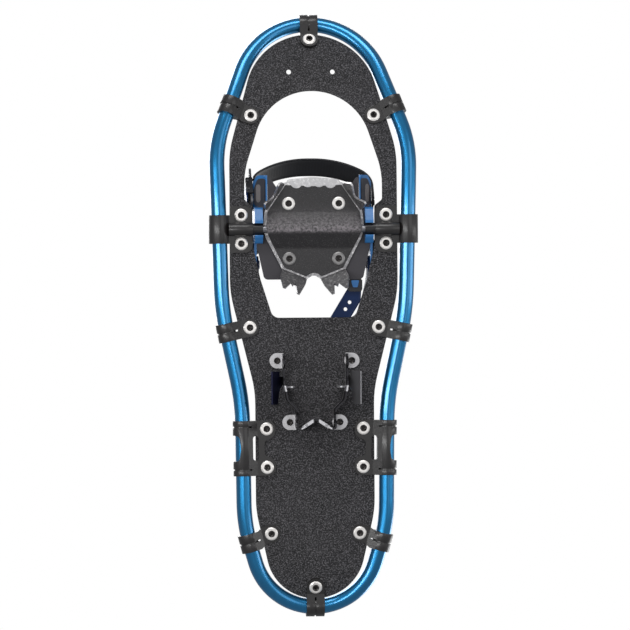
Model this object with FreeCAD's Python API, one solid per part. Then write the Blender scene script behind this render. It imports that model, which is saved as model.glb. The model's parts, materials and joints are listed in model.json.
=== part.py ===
"""Snowshoe with a tubular frame, a clipped-on deck, a pivoting toe binding and two steel crampons.

Frame of the part: +Y to the toe, +X to the wearer's right, +Z up, millimetres. The origin lies on the
ground under the middle of the frame, with the crampon points touching the ground.
"""
import FreeCAD, Part
import math
import os
from FreeCAD import Vector, Placement

os.makedirs("parts", exist_ok=True)

# ---------------------------------------------------------------- driving dimensions
FRAME_LENGTH = 616.0      # tube centreline, nose to tail
FRAME_HALF_WIDTH = 102.0  # tube centreline at the shoulder
TUBE_R = 8.0
TUBE_WALL = 1.5
DECK_Z = 27.0             # middle of the flat deck, above the ground
DECK_T = 1.8
NOSE_IN = 24.0            # plan radius of the nose, inside the shoulder width
NOSE_FLARE = 20.5         # degrees, from the nose to the shoulder
TAIL_IN = 36.0
TAIL_FLARE = 16.5
NOSE_BEND_R = 300.0       # side-view radius of the turned-up nose
NOSE_BEND_RUN = 172.0     # length of the turned-up nose
TAIL_BEND_R = 280.0
TAIL_BEND_RUN = 82.0
NECK_IN = 4.9             # how far each frame bend lies inside the shoulder line
WAIST_IN = 25.6
HEEL_IN = 27.0
AXLE_R = 4.0
AXLE_UNDER = 1.3          # top of the axle below the underside of the deck
CLIP_WALL = 2.5
CLIP_LEAF = 2.2           # each leaf of a clip, above and below the deck
RIVET_R = 2.6
WASHER_R = 6.8
WASHER_T = 1.2
STEEL_T = 2.2
FIT = 0.05                # clearance between parts that are fitted together
RUN = 0.04                # radial clearance of the axle in its bushes

HALF = FRAME_LENGTH / 2
NOSE_R = FRAME_HALF_WIDTH - NOSE_IN
TAIL_R = FRAME_HALF_WIDTH - TAIL_IN
AXLE_DROP = AXLE_R + DECK_T / 2 + AXLE_UNDER  # axle centre below the middle of the deck
NOSE_BEND_Y = HALF - NOSE_BEND_RUN
TAIL_BEND_Y = -HALF + TAIL_BEND_RUN
AXLE_Y = 0.2922 * HALF
AXLE_Z = DECK_Z - AXLE_DROP
JOINT_Y = -0.456 * HALF   # where the front and rear tubes meet
NECK_Y = 0.019 * HALF
WAIST_Y = -0.297 * HALF
STACK = DECK_T / 2 + CLIP_LEAF  # half thickness of a riveted clip
UP = Vector(0, 0, 1)


# ---------------------------------------------------------------- geometry helpers
def mirror_x(shape):
    return shape.mirror(Vector(0, 0, 0), Vector(1, 0, 0))


def corner(before, at, after, radius, share=0.48):
    """Tangent points and middle of the arc that rounds the corner at `at`."""
    a, b = before - at, after - at
    la, lb = a.Length, b.Length
    a, b = a / la, b / lb
    half_turn = (math.pi - a.getAngle(b)) / 2
    if half_turn < 1e-6:
        return None
    tangent = min(radius * math.tan(half_turn), share * la, share * lb)
    r = tangent / math.tan(half_turn)
    bisector = (a + b).normalize()
    middle = at + bisector * (r / math.cos(half_turn) - r)
    return at + a * tangent, middle, at + b * tangent


def rounded(points, closed=True, share=0.48):
    """Wire through points (Vector, radius): straight runs joined by tangent arcs."""
    n = len(points)
    arcs = []
    for i, (at, radius) in enumerate(points):
        inside = closed or 0 < i < n - 1
        arc = None
        if inside and radius > 0:
            arc = corner(points[i - 1][0], at, points[(i + 1) % n][0], radius, share)
        arcs.append(arc or (at, None, at))
    edges = []
    for i, (start, middle, end) in enumerate(arcs):
        if middle is not None:
            edges.append(Part.Arc(start, middle, end).toShape())
        if i < n - 1 or closed:
            following = arcs[(i + 1) % n][0]
            if (following - end).Length > 1e-6:
                edges.append(Part.LineSegment(end, following).toShape())
    return Part.Wire(edges)


def flat_face(points, z=0.0):
    """Face in the XY plane from (x, y, radius) corners."""
    return Part.Face(rounded([(Vector(x, y, z), r) for x, y, r in points]))


def both_sides(points):
    """Closes a right-hand outline, listed from the nose to the tail, with its mirror image."""
    return points + [(-x, y, r) for x, y, r in reversed(points) if x != 0]


def prism(face, low, high):
    moved = face.copy()
    moved.translate(Vector(0, 0, low))
    return moved.extrude(Vector(0, 0, high - low))


def box(x0, x1, y0, y1, z0, z1):
    return Part.makeBox(x1 - x0, y1 - y0, z1 - z0, Vector(x0, y0, z0))


def rod(start, end, radius):
    return Part.makeCylinder(radius, (end - start).Length, start, end - start)


def ring(start, end, inner, outer):
    return rod(start, end, outer).cut(rod(start, end, inner))


def place(shape, origin, x_axis, z_axis):
    """Moves a shape from local axes to an origin, with local X and Z along the axes given."""
    z_axis = Vector(z_axis).normalize()
    x_axis = (x_axis - z_axis * x_axis.dot(z_axis)).normalize()
    y_axis = z_axis.cross(x_axis)
    moved = shape.copy()
    matrix = FreeCAD.Matrix(
        x_axis.x, y_axis.x, z_axis.x, origin.x,
        x_axis.y, y_axis.y, z_axis.y, origin.y,
        x_axis.z, y_axis.z, z_axis.z, origin.z,
        0, 0, 0, 1)
    moved.Placement = Placement(matrix).multiply(moved.Placement)
    return moved


def save(name, solids):
    solids = solids if isinstance(solids, list) else [solids]
    flat = [s for shape in solids for s in shape.Solids]
    for solid in flat:
        if not solid.isValid() or solid.Volume <= 0:
            print("check", name, solid.isValid(), solid.Volume)
    shape = flat[0] if len(flat) == 1 else Part.Compound(flat)
    shape.exportStep("parts/" + name + ".step")
    PARTS[name] = shape


PARTS = {}


# ---------------------------------------------------------------- side profile of frame and deck
def profile(y):
    """Height of the deck's middle surface and its slope in radians at station y."""
    if y > NOSE_BEND_Y:
        angle = math.asin(min((y - NOSE_BEND_Y) / NOSE_BEND_R, 1))
        return DECK_Z + NOSE_BEND_R * (1 - math.cos(angle)), angle
    if y < TAIL_BEND_Y:
        angle = math.asin(min((TAIL_BEND_Y - y) / TAIL_BEND_R, 1))
        return DECK_Z + TAIL_BEND_R * (1 - math.cos(angle)), -angle
    return DECK_Z, 0.0


def deck_normal(y):
    slope = profile(y)[1]
    return Vector(0, -math.sin(slope), math.cos(slope))


def on_deck(x, y):
    return Vector(x, y, profile(y)[0])


# ---------------------------------------------------------------- frame tubes
def turned(radius, centre_y, steps, total, sign):
    """Corners of the polygon round an arc of `total` degrees, from the middle outwards."""
    step = total / steps
    reach = radius / math.cos(math.radians(step / 2))
    angles = [math.radians(step * (i + 0.5)) for i in range(steps)]
    return [(reach * math.sin(a), centre_y + sign * reach * math.cos(a)) for a in angles]


def flare_y(radius, centre_y, flare, x, sign):
    """Station where the line that leaves an end arc at `flare` degrees reaches width x."""
    a = math.radians(flare)
    return centre_y + sign * (radius - x * math.cos(a)) / math.sin(a)


NOSE_CENTRE = HALF - NOSE_R
TAIL_CENTRE = -HALF + TAIL_R
SHOULDER_X = FRAME_HALF_WIDTH
SHOULDER_Y = flare_y(NOSE_R, NOSE_CENTRE, NOSE_FLARE, SHOULDER_X, 1)
NECK_X = SHOULDER_X - NECK_IN
WAIST_X = SHOULDER_X - WAIST_IN
HEEL_X = SHOULDER_X - HEEL_IN
HEEL_Y = flare_y(TAIL_R, TAIL_CENTRE, TAIL_FLARE, HEEL_X, -1)
JOINT_X = WAIST_X + (HEEL_X - WAIST_X) * (WAIST_Y - JOINT_Y) / (WAIST_Y - HEEL_Y)
FULL = 1e4                # a radius cut down to what the runs allow


def neck_line(y):
    """Width of the frame's near-straight side, between the shoulder and the neck."""
    return NECK_X + (SHOULDER_X - NECK_X) * (y - NECK_Y) / (SHOULDER_Y - NECK_Y)


def front_path():
    nose = turned(NOSE_R, NOSE_CENTRE, 3, 90 - NOSE_FLARE, 1)
    lift_y = NOSE_BEND_Y - 10
    mid_y = (SHOULDER_Y + nose[-1][1]) / 2
    mid_x = (SHOULDER_X + nose[-1][0]) / 2
    right = [
        (JOINT_X, JOINT_Y, 0), (WAIST_X, WAIST_Y, 240), (NECK_X, NECK_Y, 265),
        (neck_line(lift_y), lift_y, 400), (SHOULDER_X, SHOULDER_Y, 140), (mid_x, mid_y, 400),
    ] + [(x, y, FULL) for x, y in reversed(nose)]
    half = [(on_deck(x, y), r) for x, y, r in right]
    other = [(Vector(-p.x, p.y, p.z), r) for p, r in reversed(half)]
    return rounded(half + other, closed=False, share=0.497)


def rear_path():
    tail = turned(TAIL_R, TAIL_CENTRE, 3, 90 - TAIL_FLARE, -1)
    right = [(JOINT_X, JOINT_Y, 0), (HEEL_X, HEEL_Y, 160)]
    right += [(x, y, FULL) for x, y in reversed(tail)]
    half = [(on_deck(x, y), r) for x, y, r in right]
    other = [(Vector(-p.x, p.y, p.z), r) for p, r in reversed(half)]
    return rounded(half + other, closed=False, share=0.497)


def pipe(path, radius):
    start = path.Edges[0]
    direction = start.tangentAt(start.FirstParameter)
    circle = Part.Circle(start.valueAt(start.FirstParameter), direction, radius).toShape()
    return path.makePipeShell([Part.Wire([circle])], True, False)


FRONT_PATH = front_path()
REAR_PATH = rear_path()
front_outer = pipe(FRONT_PATH, TUBE_R)
rear_outer = pipe(REAR_PATH, TUBE_R)
save("front_frame_tube", front_outer.cut(pipe(FRONT_PATH, TUBE_R - TUBE_WALL)))
save("rear_frame_tube", rear_outer.cut(pipe(REAR_PATH, TUBE_R - TUBE_WALL)))

# Inner sleeves that join the two tubes under the long clips
SLEEVE_HALF = 22.0
SLEEVE_WALL = 1.4
sleeves = []
for side in (1, -1):
    joint = on_deck(side * JOINT_X, JOINT_Y)
    along = Vector(side * (WAIST_X - HEEL_X), WAIST_Y - HEEL_Y, 0).normalize()
    outer = TUBE_R - TUBE_WALL - FIT
    sleeves.append(ring(joint - along * SLEEVE_HALF, joint + along * SLEEVE_HALF,
                        outer - SLEEVE_WALL, outer))
save("frame_joint_sleeves", sleeves)


# ---------------------------------------------------------------- deck
DECK_NOSE_GAP = TUBE_R + 3.0      # tube centreline to deck edge at the nose
DECK_TAIL_GAP = TUBE_R + 0.7
DECK_NOSE_R = NOSE_R - TUBE_R
DECK_TAIL_R = TAIL_R - TUBE_R - 6.0
DECK_SHOULDER_GAP = TUBE_R + 5.7
DECK_HEEL_GAP = TUBE_R + 5.6
BINDING_HALF = 63.0       # half width of the binding base at the axle
BINDING_GAP = 1.5         # side clearance between the binding and what it swings between
ARM_IN = BINDING_HALF + BINDING_GAP
MOUTH_RIM = 29.3          # frame centreline to the toe opening ahead of the axle
MOUTH_X = FRAME_HALF_WIDTH - MOUTH_RIM
MOUTH_TOP_R = NOSE_R - 16.0
MOUTH_TOP_GAP = 61.0      # deck edge to opening, at the nose
MOUTH_REAR = 93.1         # axle to the rear edge of the opening
HOLE_R = 2.5              # two holes in the nose of the deck
HOLE_X = 23.2
HOLE_Y = HALF - 51.5
CLAMP_HALF = 24.5         # half length of the axle clamp's plate


def deck_outline():
    top = HALF - DECK_NOSE_GAP
    nose = turned(DECK_NOSE_R, top - DECK_NOSE_R, 3, 90 - 15.9, 1)
    bottom = -HALF + DECK_TAIL_GAP
    tail = turned(DECK_TAIL_R, bottom + DECK_TAIL_R, 3, 90 - 12.7, -1)
    side = FRAME_HALF_WIDTH - DECK_SHOULDER_GAP
    heel = HEEL_X - DECK_HEEL_GAP + 1.3
    right = [(x, y, FULL) for x, y in nose]
    right += [(side, flare_y(DECK_NOSE_R, top - DECK_NOSE_R, 15.9, side, 1), 110),
              (side + 0.3, NECK_Y + 18, 120), (heel, WAIST_Y + 12, 120),
              (heel, flare_y(DECK_TAIL_R, bottom + DECK_TAIL_R, 12.7, heel, -1), 110)]
    right += [(x, y, FULL) for x, y in reversed(tail)]
    return both_sides(right)


def mouth_outline():
    top = HALF - DECK_NOSE_GAP - MOUTH_TOP_GAP
    arc = turned(MOUTH_TOP_R, top - MOUTH_TOP_R, 3, 72, 1)
    step_y = AXLE_Y + CLAMP_HALF + 1.5
    rear = AXLE_Y - MOUTH_REAR
    right = [(x, y, FULL) for x, y in arc]
    right += [(MOUTH_X, flare_y(MOUTH_TOP_R, top - MOUTH_TOP_R, 18, MOUTH_X, 1), 90),
              (MOUTH_X, step_y + 5, 4), (ARM_IN, step_y - 1.5, 3),
              (ARM_IN, AXLE_Y - 16, 60), (ARM_IN - 8, AXLE_Y - 52, 60), (43.5, rear, 9)]
    return both_sides(right)


def deck_band():
    """Side view of the deck sheet, wider than the deck, as a solid bent along its profile."""
    nose_end = math.asin((HALF - NOSE_BEND_Y) / NOSE_BEND_R)
    tail_end = math.asin((HALF + TAIL_BEND_Y) / TAIL_BEND_R)

    def at(centre_y, centre_r, angle, offset, sign):
        r = centre_r - offset
        return Vector(-160, centre_y + sign * r * math.sin(angle),
                      DECK_Z + centre_r - r * math.cos(angle))

    edges = []
    ends = []
    for offset in (DECK_T / 2, -DECK_T / 2):
        nose = [at(NOSE_BEND_Y, NOSE_BEND_R, nose_end * k, offset, 1) for k in (0, 0.5, 1)]
        tail = [at(TAIL_BEND_Y, TAIL_BEND_R, tail_end * k, offset, -1) for k in (0, 0.5, 1)]
        edges += [Part.Arc(*nose).toShape(), Part.LineSegment(nose[0], tail[0]).toShape(),
                  Part.Arc(*tail).toShape()]
        ends.append((nose[2], tail[2]))
    edges += [Part.LineSegment(ends[0][k], ends[1][k]).toShape() for k in (0, 1)]
    return Part.Face(Part.Wire(Part.__sortEdges__(edges))).extrude(Vector(320, 0, 0))


plan = flat_face(deck_outline()).cut(flat_face(mouth_outline()))
deck_solid = deck_band().common(prism(plan, -20, 160))
PIERCE = 30.0             # longer than any stack that a hole goes through

for side in (1, -1):
    spot = on_deck(side * HOLE_X, HOLE_Y)
    deck_solid = deck_solid.cut(rod(spot - UP * 6, spot + UP * 6, HOLE_R))


# ---------------------------------------------------------------- rivets and washers
HEAD_R = 5.5
HEAD_H = 1.8
ROLL_R = 3.5              # rolled end of a rivet
ROLL_H = 1.4
BORE_R = 1.9
BORE_DEEP = 4.0


def rivet(low, high, washer=WASHER_T):
    """Tubular rivet along local Z that grips from low to high, with its hollow end down."""
    end = low - washer
    points = [Vector(0, 0, end + BORE_DEEP), Vector(BORE_R, 0, end + BORE_DEEP),
              Vector(BORE_R, 0, end - ROLL_H + 0.5), Vector(ROLL_R - 0.9, 0, end - ROLL_H),
              Vector(ROLL_R, 0, end - 0.6), Vector(ROLL_R, 0, end), Vector(RIVET_R, 0, end),
              Vector(RIVET_R, 0, high), Vector(HEAD_R, 0, high), Vector(HEAD_R, 0, high + 0.5),
              Vector(HEAD_R - 1.6, 0, high + HEAD_H * 0.85), Vector(0, 0, high + HEAD_H),
              Vector(0, 0, end + BORE_DEEP)]
    return Part.Face(Part.makePolygon(points)).revolve(Vector(0, 0, 0), UP, 360)


def washer(top, thickness=WASHER_T):
    """Domed washer along local Z, hanging under `top`."""
    low = top - thickness
    points = [Vector(RIVET_R + FIT, 0, top), Vector(WASHER_R, 0, top),
              Vector(WASHER_R, 0, top - 0.4), Vector(WASHER_R - 1.2, 0, low),
              Vector(RIVET_R + FIT, 0, low), Vector(RIVET_R + FIT, 0, top)]
    return Part.Face(Part.makePolygon(points)).revolve(Vector(0, 0, 0), UP, 360)


# ---------------------------------------------------------------- deck clips
CLIP_REACH = TUBE_R + 16.5  # tube centreline to rivet
CLIP_TAB_R = 9.3          # round end of the tab
CLIP_WIDTH = 19.0         # length of tube that a clip wraps
NOSE_REACH = TUBE_R + 13.7
TAIL_REACH = TUBE_R + 14.4
LEAF_X = TUBE_R + 7.0             # where the leaves come together
FRONT_CLIP_Y = 0.713 * HALF
MID_CLIP_Y = -0.06 * HALF
REAR_CLIP_Y = -0.777 * HALF
LONG_REACH = TUBE_R + 17.0
FRONT_SKEW = -2.6         # rivet of a front clip behind the middle of its wrap
REAR_SKEW = 3.0
LONG_HALF = 29.0          # half length of a long clip
LONG_RIVET = 20.3         # rivets each side of the long clip's middle


def clip_section(reach, wall=CLIP_WALL):
    """Cross-section of a clip, local X inwards and local Y up, as a face in the XY plane."""
    outer = TUBE_R + wall
    distance = math.hypot(LEAF_X, STACK)
    touch = math.atan2(STACK, LEAF_X) + math.acos(outer / distance)
    high = Vector(outer * math.cos(touch), outer * math.sin(touch), 0)
    low = Vector(high.x, -high.y, 0)
    corners = [low, Vector(LEAF_X, -STACK, 0), Vector(reach, -STACK, 0),
               Vector(reach, STACK, 0), Vector(LEAF_X, STACK, 0), high]
    edges = [Part.LineSegment(a, b).toShape() for a, b in zip(corners, corners[1:])]
    edges.append(Part.Arc(high, Vector(-outer, 0, 0), low).toShape())
    return Part.Face(Part.Wire(edges))


def clip_body(reach, half, wall=CLIP_WALL):
    """Clip blank in local axes: X inwards, Y along the tube, Z up."""
    blank = clip_section(reach, wall).extrude(Vector(0, 0, 2 * half))
    blank.translate(Vector(0, 0, -half))
    return blank.copy().rotate(Vector(0, 0, 0), Vector(1, 0, 0), 90)


def groove(at, wide=1.8, deep=1.1):
    outer = TUBE_R + CLIP_WALL
    ends = (Vector(0, at - wide / 2, 0), Vector(0, at + wide / 2, 0))
    return ring(ends[0], ends[1], outer - deep, outer + 2.5)


def single_clip(reach, skew=0.0):
    """Clip with one rivet, whose tab leans along the tube by `skew`."""
    half = CLIP_WIDTH / 2
    blank = clip_body(reach + CLIP_TAB_R, half + abs(skew))
    end_r = CLIP_TAB_R * 0.99
    outline = [(-TUBE_R - 4, -half, 0), (LEAF_X - 4, -half, 3), (LEAF_X + 2, skew - CLIP_TAB_R, 3),
               (reach, skew - CLIP_TAB_R, 0), (reach + CLIP_TAB_R, skew - CLIP_TAB_R, end_r),
               (reach + CLIP_TAB_R, skew + CLIP_TAB_R, end_r), (reach, skew + CLIP_TAB_R, 0),
               (LEAF_X + 2, skew + CLIP_TAB_R, 3), (LEAF_X - 4, half, 3), (-TUBE_R - 4, half, 0)]
    face = Part.Face(rounded([(Vector(x, y, 0), r) for x, y, r in outline], share=0.999))
    body = blank.common(prism(face, -20, 20))
    return body.cut(groove(0)), [Vector(reach, skew, 0)]


def long_clip():
    blank = clip_body(LONG_REACH + CLIP_TAB_R, LONG_HALF)
    end = LONG_REACH + CLIP_TAB_R
    slot = (TUBE_R + 2.2, TUBE_R + 8.4)
    cutters = [
        prism(flat_face([(slot[0], -12.9, 3), (slot[1], -12.9, 3), (slot[1], 12.9, 3), (slot[0], 12.9, 3)]),
              -20, 20),
        prism(flat_face([(-20, -15, 0), (-4.5, -13, 4), (-2.5, 0, 30), (-4.5, 13, 4),
                         (-20, 15, 0)]), -20, 20),
    ]
    far = LONG_RIVET + CLIP_TAB_R
    near = LONG_RIVET - CLIP_TAB_R
    right = [(-TUBE_R - 4, -LONG_HALF, 0), (LEAF_X, -LONG_HALF, 0), (LEAF_X + 4, -far, 3),
             (end, -far, CLIP_TAB_R - 0.05), (end, -near, CLIP_TAB_R - 0.05),
             (LONG_REACH - 2.4, -near + 3, 5)]
    outline = right + [(x, -y, r) for x, y, r in reversed(right)]
    outline = Part.Face(rounded([(Vector(x, y, 0), r) for x, y, r in outline], share=0.8))
    body = blank.common(prism(outline, -20, 20))
    for cutter in cutters:
        body = body.cut(cutter)
    for at in (-LONG_HALF + 6.5, LONG_HALF - 6.5):
        body = body.cut(groove(at).common(box(-40, TUBE_R + 1.0, -LONG_HALF, LONG_HALF, -20, 20)))
    return body, [Vector(LONG_REACH, -LONG_RIVET, 0), Vector(LONG_REACH, LONG_RIVET, 0)]


def tube_at(path, y, side):
    """Point and direction of a frame path where it crosses station y on one side."""
    best = None
    points = path.discretize(Distance=0.25)
    for i in range(1, len(points) - 1):
        p = points[i]
        if p.x * side > 1 and (best is None or abs(p.y - y) < abs(best[0].y - y)):
            best = (p, (points[i + 1] - points[i - 1]).normalize())
    at, along = best
    return at, along if along.y > 0 else along * -1


clip_rivets = []
clip_washers = []
TUBES = [front_outer, rear_outer]


def fit_clip(name, body, rivet_spots, at, along, inward):
    """Places a clip on the frame, cuts it to the tube and the deck, and adds its rivets."""
    up = inward.cross(along)
    if up.z < 0:
        up = up * -1
    clip = place(body, at, inward, up)
    for tube in TUBES:
        clip = clip.cut(tube)
    global deck_solid
    clip = clip.cut(deck_solid)
    turn = up.cross(inward)
    for spot in rivet_spots:
        centre = at + inward * spot.x + turn * spot.y
        drill = rod(centre - up * PIERCE / 3, centre + up * PIERCE / 3, RIVET_R + FIT)
        clip = clip.cut(drill)
        deck_solid = deck_solid.cut(drill)
        clip_rivets.append(place(rivet(-STACK, STACK), centre, inward, up))
        clip_washers.append(place(washer(-STACK), centre, inward, up))
    save(name, max(clip.Solids, key=lambda s: s.Volume))


def square_in(along, at):
    """Direction across the tube, in the deck's surface, towards the middle."""
    normal = deck_normal(at.y)
    across = normal.cross(along).normalize()
    return across if across.x * at.x < 0 else across * -1


for label, side in (("right", 1), ("left", -1)):
    for name, path, y, skew in (("front_clip", FRONT_PATH, FRONT_CLIP_Y, FRONT_SKEW),
                                ("mid_clip", FRONT_PATH, MID_CLIP_Y, 0.0),
                                ("rear_clip", REAR_PATH, REAR_CLIP_Y, REAR_SKEW)):
        spot, along = tube_at(path, y, side)
        body, rivets = single_clip(CLIP_REACH, -side * skew)
        fit_clip(name + "_" + label, body, rivets, spot, along, square_in(along, spot))
    joint = on_deck(side * JOINT_X, JOINT_Y)
    along = Vector(side * (WAIST_X - HEEL_X), WAIST_Y - HEEL_Y, 0).normalize()
    body, rivets = long_clip()
    fit_clip("long_clip_" + label, body, rivets, joint, along, square_in(along, joint))

for name, y, reach in (("nose_clip", HALF, NOSE_REACH), ("tail_clip", -HALF, TAIL_REACH)):
    slope = profile(y)[1]
    inward = Vector(0, math.cos(slope), math.sin(slope)) * (-1 if y > 0 else 1)
    body, rivets = single_clip(reach)
    path = FRONT_PATH if y > 0 else REAR_PATH
    middle = path.discretize(Number=2001)[1000]
    fit_clip(name, body, rivets, middle, Vector(1, 0, 0), inward)

# ---------------------------------------------------------------- axle clamps
CLAMP_SLEEVE = 15.0       # half length of tube that the clamp wraps
CLAMP_WALL = 3.0
BUSH_R = AXLE_R + 1.1
HOUSING_R = BUSH_R + 2.0
CLAMP_TUBE_X = neck_line(AXLE_Y)
HOUSING_END = CLAMP_TUBE_X - TUBE_R - 3.5  # outer end of the axle bore
CLAMP_RIVET_X = CLAMP_TUBE_X - TUBE_R - 15.0
CLAMP_RIVET_Y = 15.0      # rivets each side of the axle
axle_clamp_rivets = []
axle_clamp_washers = []
bushes = []


def axle_clamp(side):
    tube_x = CLAMP_TUBE_X
    outer = TUBE_R + CLAMP_WALL
    sleeve = rod(Vector(tube_x, AXLE_Y - CLAMP_SLEEVE, DECK_Z),
                 Vector(tube_x, AXLE_Y + CLAMP_SLEEVE, DECK_Z), outer)
    web_low, web_high = DECK_Z - STACK, DECK_Z + STACK
    web = box(tube_x - 16, tube_x - 2, AXLE_Y - CLAMP_SLEEVE, AXLE_Y + CLAMP_SLEEVE,
              web_low - 2, web_high + 2)
    plate = prism(flat_face([(ARM_IN, AXLE_Y - CLAMP_HALF, 8), (tube_x - 11.5, AXLE_Y - CLAMP_HALF, 1),
                             (tube_x - 11.5, AXLE_Y + CLAMP_HALF, 1),
                             (ARM_IN, AXLE_Y + CLAMP_HALF, 8)]), web_low, web_high)
    housing = rod(Vector(ARM_IN, AXLE_Y, AXLE_Z), Vector(HOUSING_END + 2, AXLE_Y, AXLE_Z),
                  HOUSING_R)
    housing = housing.common(box(0, 200, AXLE_Y - 20, AXLE_Y + 20, 0, DECK_Z))
    body = sleeve.fuse([web, plate, housing])
    body = body.cut(rod(Vector(ARM_IN - 1, AXLE_Y, AXLE_Z),
                        Vector(HOUSING_END, AXLE_Y, AXLE_Z), BUSH_R))
    if side < 0:
        body = mirror_x(body)
    return body


for label, side in (("right", 1), ("left", -1)):
    clamp = axle_clamp(side)
    for tube in TUBES:
        clamp = clamp.cut(tube)
    clamp = clamp.cut(deck_solid)
    for dy in (-CLAMP_RIVET_Y, CLAMP_RIVET_Y):
        centre = Vector(side * CLAMP_RIVET_X, AXLE_Y + dy, DECK_Z)
        drill = rod(centre - UP * 9, centre + UP * 9, RIVET_R + FIT)
        clamp = clamp.cut(drill)
        deck_solid = deck_solid.cut(drill)
        axle_clamp_rivets.append(place(rivet(-STACK, STACK), centre, Vector(1, 0, 0), UP))
        axle_clamp_washers.append(place(washer(-STACK), centre, Vector(1, 0, 0), UP))
    save("axle_clamp_" + label, max(clamp.Solids, key=lambda s: s.Volume))
    bushes.append(ring(Vector(side * (ARM_IN + 0.5), AXLE_Y, AXLE_Z),
                       Vector(side * (HOUSING_END - 0.5), AXLE_Y, AXLE_Z),
                       AXLE_R + RUN, BUSH_R - 0.02))
save("clip_rivets", clip_rivets)
save("clip_washers", clip_washers)
save("axle_clamp_rivets", axle_clamp_rivets)
save("axle_clamp_washers", axle_clamp_washers)
save("axle_bushes", bushes)


# ---------------------------------------------------------------- pivot axle and toe crampon
AXLE_END = HOUSING_END - 1.0
BASE_Z = AXLE_Z + AXLE_R + 0.1       # steel plate rests just over the axle
BED_Z = BASE_Z + STEEL_T + 0.1       # underside of the footbed
BED_T = 3.0
BED_TOP = BED_Z + BED_T
COVER_T = 1.5
COVER_IN = 2.9                       # cover plate edge inside the steel plate's edge
PLATE_HALF = 53.5
HEAD_SINK = 2.0
LUG_IN = PLATE_HALF + 0.5


def at_axle(x, dy, z=0.0):
    return Vector(x, AXLE_Y + dy, z)


def axle_rod(x0, x1, radius):
    return rod(Vector(x0, AXLE_Y, AXLE_Z), Vector(x1, AXLE_Y, AXLE_Z), radius)


save("pivot_axle", axle_rod(-AXLE_END, AXLE_END, AXLE_R))

FRONT_FOLD = ((31.0, 48.5), (PLATE_HALF - 2.0, 19.5))
REAR_FOLD = ((33.0, -43.0), (8.0, -53.0))
plate_half = [(0, 48.0, 60), (FRONT_FOLD[0][0], FRONT_FOLD[0][1] + 1, 4),
              (FRONT_FOLD[1][0], FRONT_FOLD[1][1], 8), (PLATE_HALF, 0, 12), (50.0, -10.0, 8),
              (REAR_FOLD[0][0], REAR_FOLD[0][1], 3), (REAR_FOLD[1][0], REAR_FOLD[1][1], 4),
              (0, -48.0, 6)]


def shifted(points, dy):
    return [(x, y + dy, r) for x, y, r in points]


def toe_plate_outline():
    right = shifted(plate_half, AXLE_Y)
    return right + [(-x, y, r) for x, y, r in reversed(right[1:-1])]


def claw(fold, side, lean, top, teeth):
    """Claw plate hanging from a fold line; teeth are (along, down) corners, lean in degrees."""
    a = at_axle(side * fold[0][0], fold[0][1], top)
    b = at_axle(side * fold[1][0], fold[1][1], top)
    along = (b - a).normalize()
    out = along.cross(UP)
    centre = at_axle(0, 0, top)
    if out.dot(a - centre) < 0:
        out = out * -1
    down = UP * -math.cos(math.radians(lean)) + out * math.sin(math.radians(lean))
    thick = down.cross(along).normalize()
    if thick.dot(out) > 0:
        thick = thick * -1
    corners = [a + along * s + down * d for s, d in teeth]
    face = Part.Face(Part.makePolygon(corners + [corners[0]]))
    return face.extrude(thick * STEEL_T)


plate_face = flat_face(toe_plate_outline())
toe_crampon = prism(plate_face, BASE_Z, BASE_Z + STEEL_T)
CLAW_TOP = BASE_Z + STEEL_T
LIP_FRONT = 55.0          # axle to the front edge of the steel plate
lip = [(0, LIP_FRONT, 70), (27.0, LIP_FRONT - 2.6, 4), (FRONT_FOLD[0][0] - 1, FRONT_FOLD[0][1] - 3, 0)]
lip = shifted(lip, AXLE_Y)
lip_face = flat_face(lip + [(-x, y, r) for x, y, r in reversed(lip[1:])])
toe_crampon = toe_crampon.fuse(prism(lip_face, BASE_Z, BASE_Z + STEEL_T))
FRONT_LEAN = 13.0
REAR_LEAN = 36.0


def claw_depth(lean):
    """Length down a leaning claw that brings its lowest edge to the ground."""
    a = math.radians(lean)
    return (CLAW_TOP - STEEL_T * math.sin(a)) / math.cos(a)


FRONT_DEEP = claw_depth(FRONT_LEAN)
REAR_DEEP = claw_depth(REAR_LEAN)
claws = []
for side in (1, -1):
    claws.append(claw(FRONT_FOLD, side, FRONT_LEAN, CLAW_TOP,
                      [(1, 0), (34, 0), (34, 12), (31.5, FRONT_DEEP), (28.5, FRONT_DEEP),
                       (22.5, 14), (19, 11), (15.5, 14), (7.5, FRONT_DEEP * 0.95),
                       (4.5, FRONT_DEEP * 0.95), (1, 12)]))
    claws.append(claw(REAR_FOLD, side, REAR_LEAN, CLAW_TOP,
                      [(-0.5, 0), (27.4, 0), (27.4, 12), (24.5, REAR_DEEP), (21.5, REAR_DEEP),
                       (17.5, 18), (15, REAR_DEEP * 0.72), (12.5, 18), (8.5, REAR_DEEP * 0.97),
                       (5.5, REAR_DEEP * 0.97), (-0.5, 14)]))
toe_crampon = toe_crampon.fuse(claws)

cover_face = plate_face.Faces[0].makeOffset2D(-COVER_IN)
CREST_DY = -1.5           # crest of the ridge that covers the axle
CREST_Z = AXLE_Z - 1.45 * AXLE_R - FIT - COVER_T + 0.4
RIDGE_FRONT = 18.5        # front and rear feet of the ridge
RIDGE_REAR = -20.0
RIDGE_R = 7.0


def side_prism(points, x0, x1):
    """Prism along X from a rounded outline of (dy, z, radius) corners."""
    wire = rounded([(Vector(x0, AXLE_Y + dy, z), r) for dy, z, r in points])
    return Part.Face(wire).extrude(Vector(x1 - x0, 0, 0))


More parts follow.
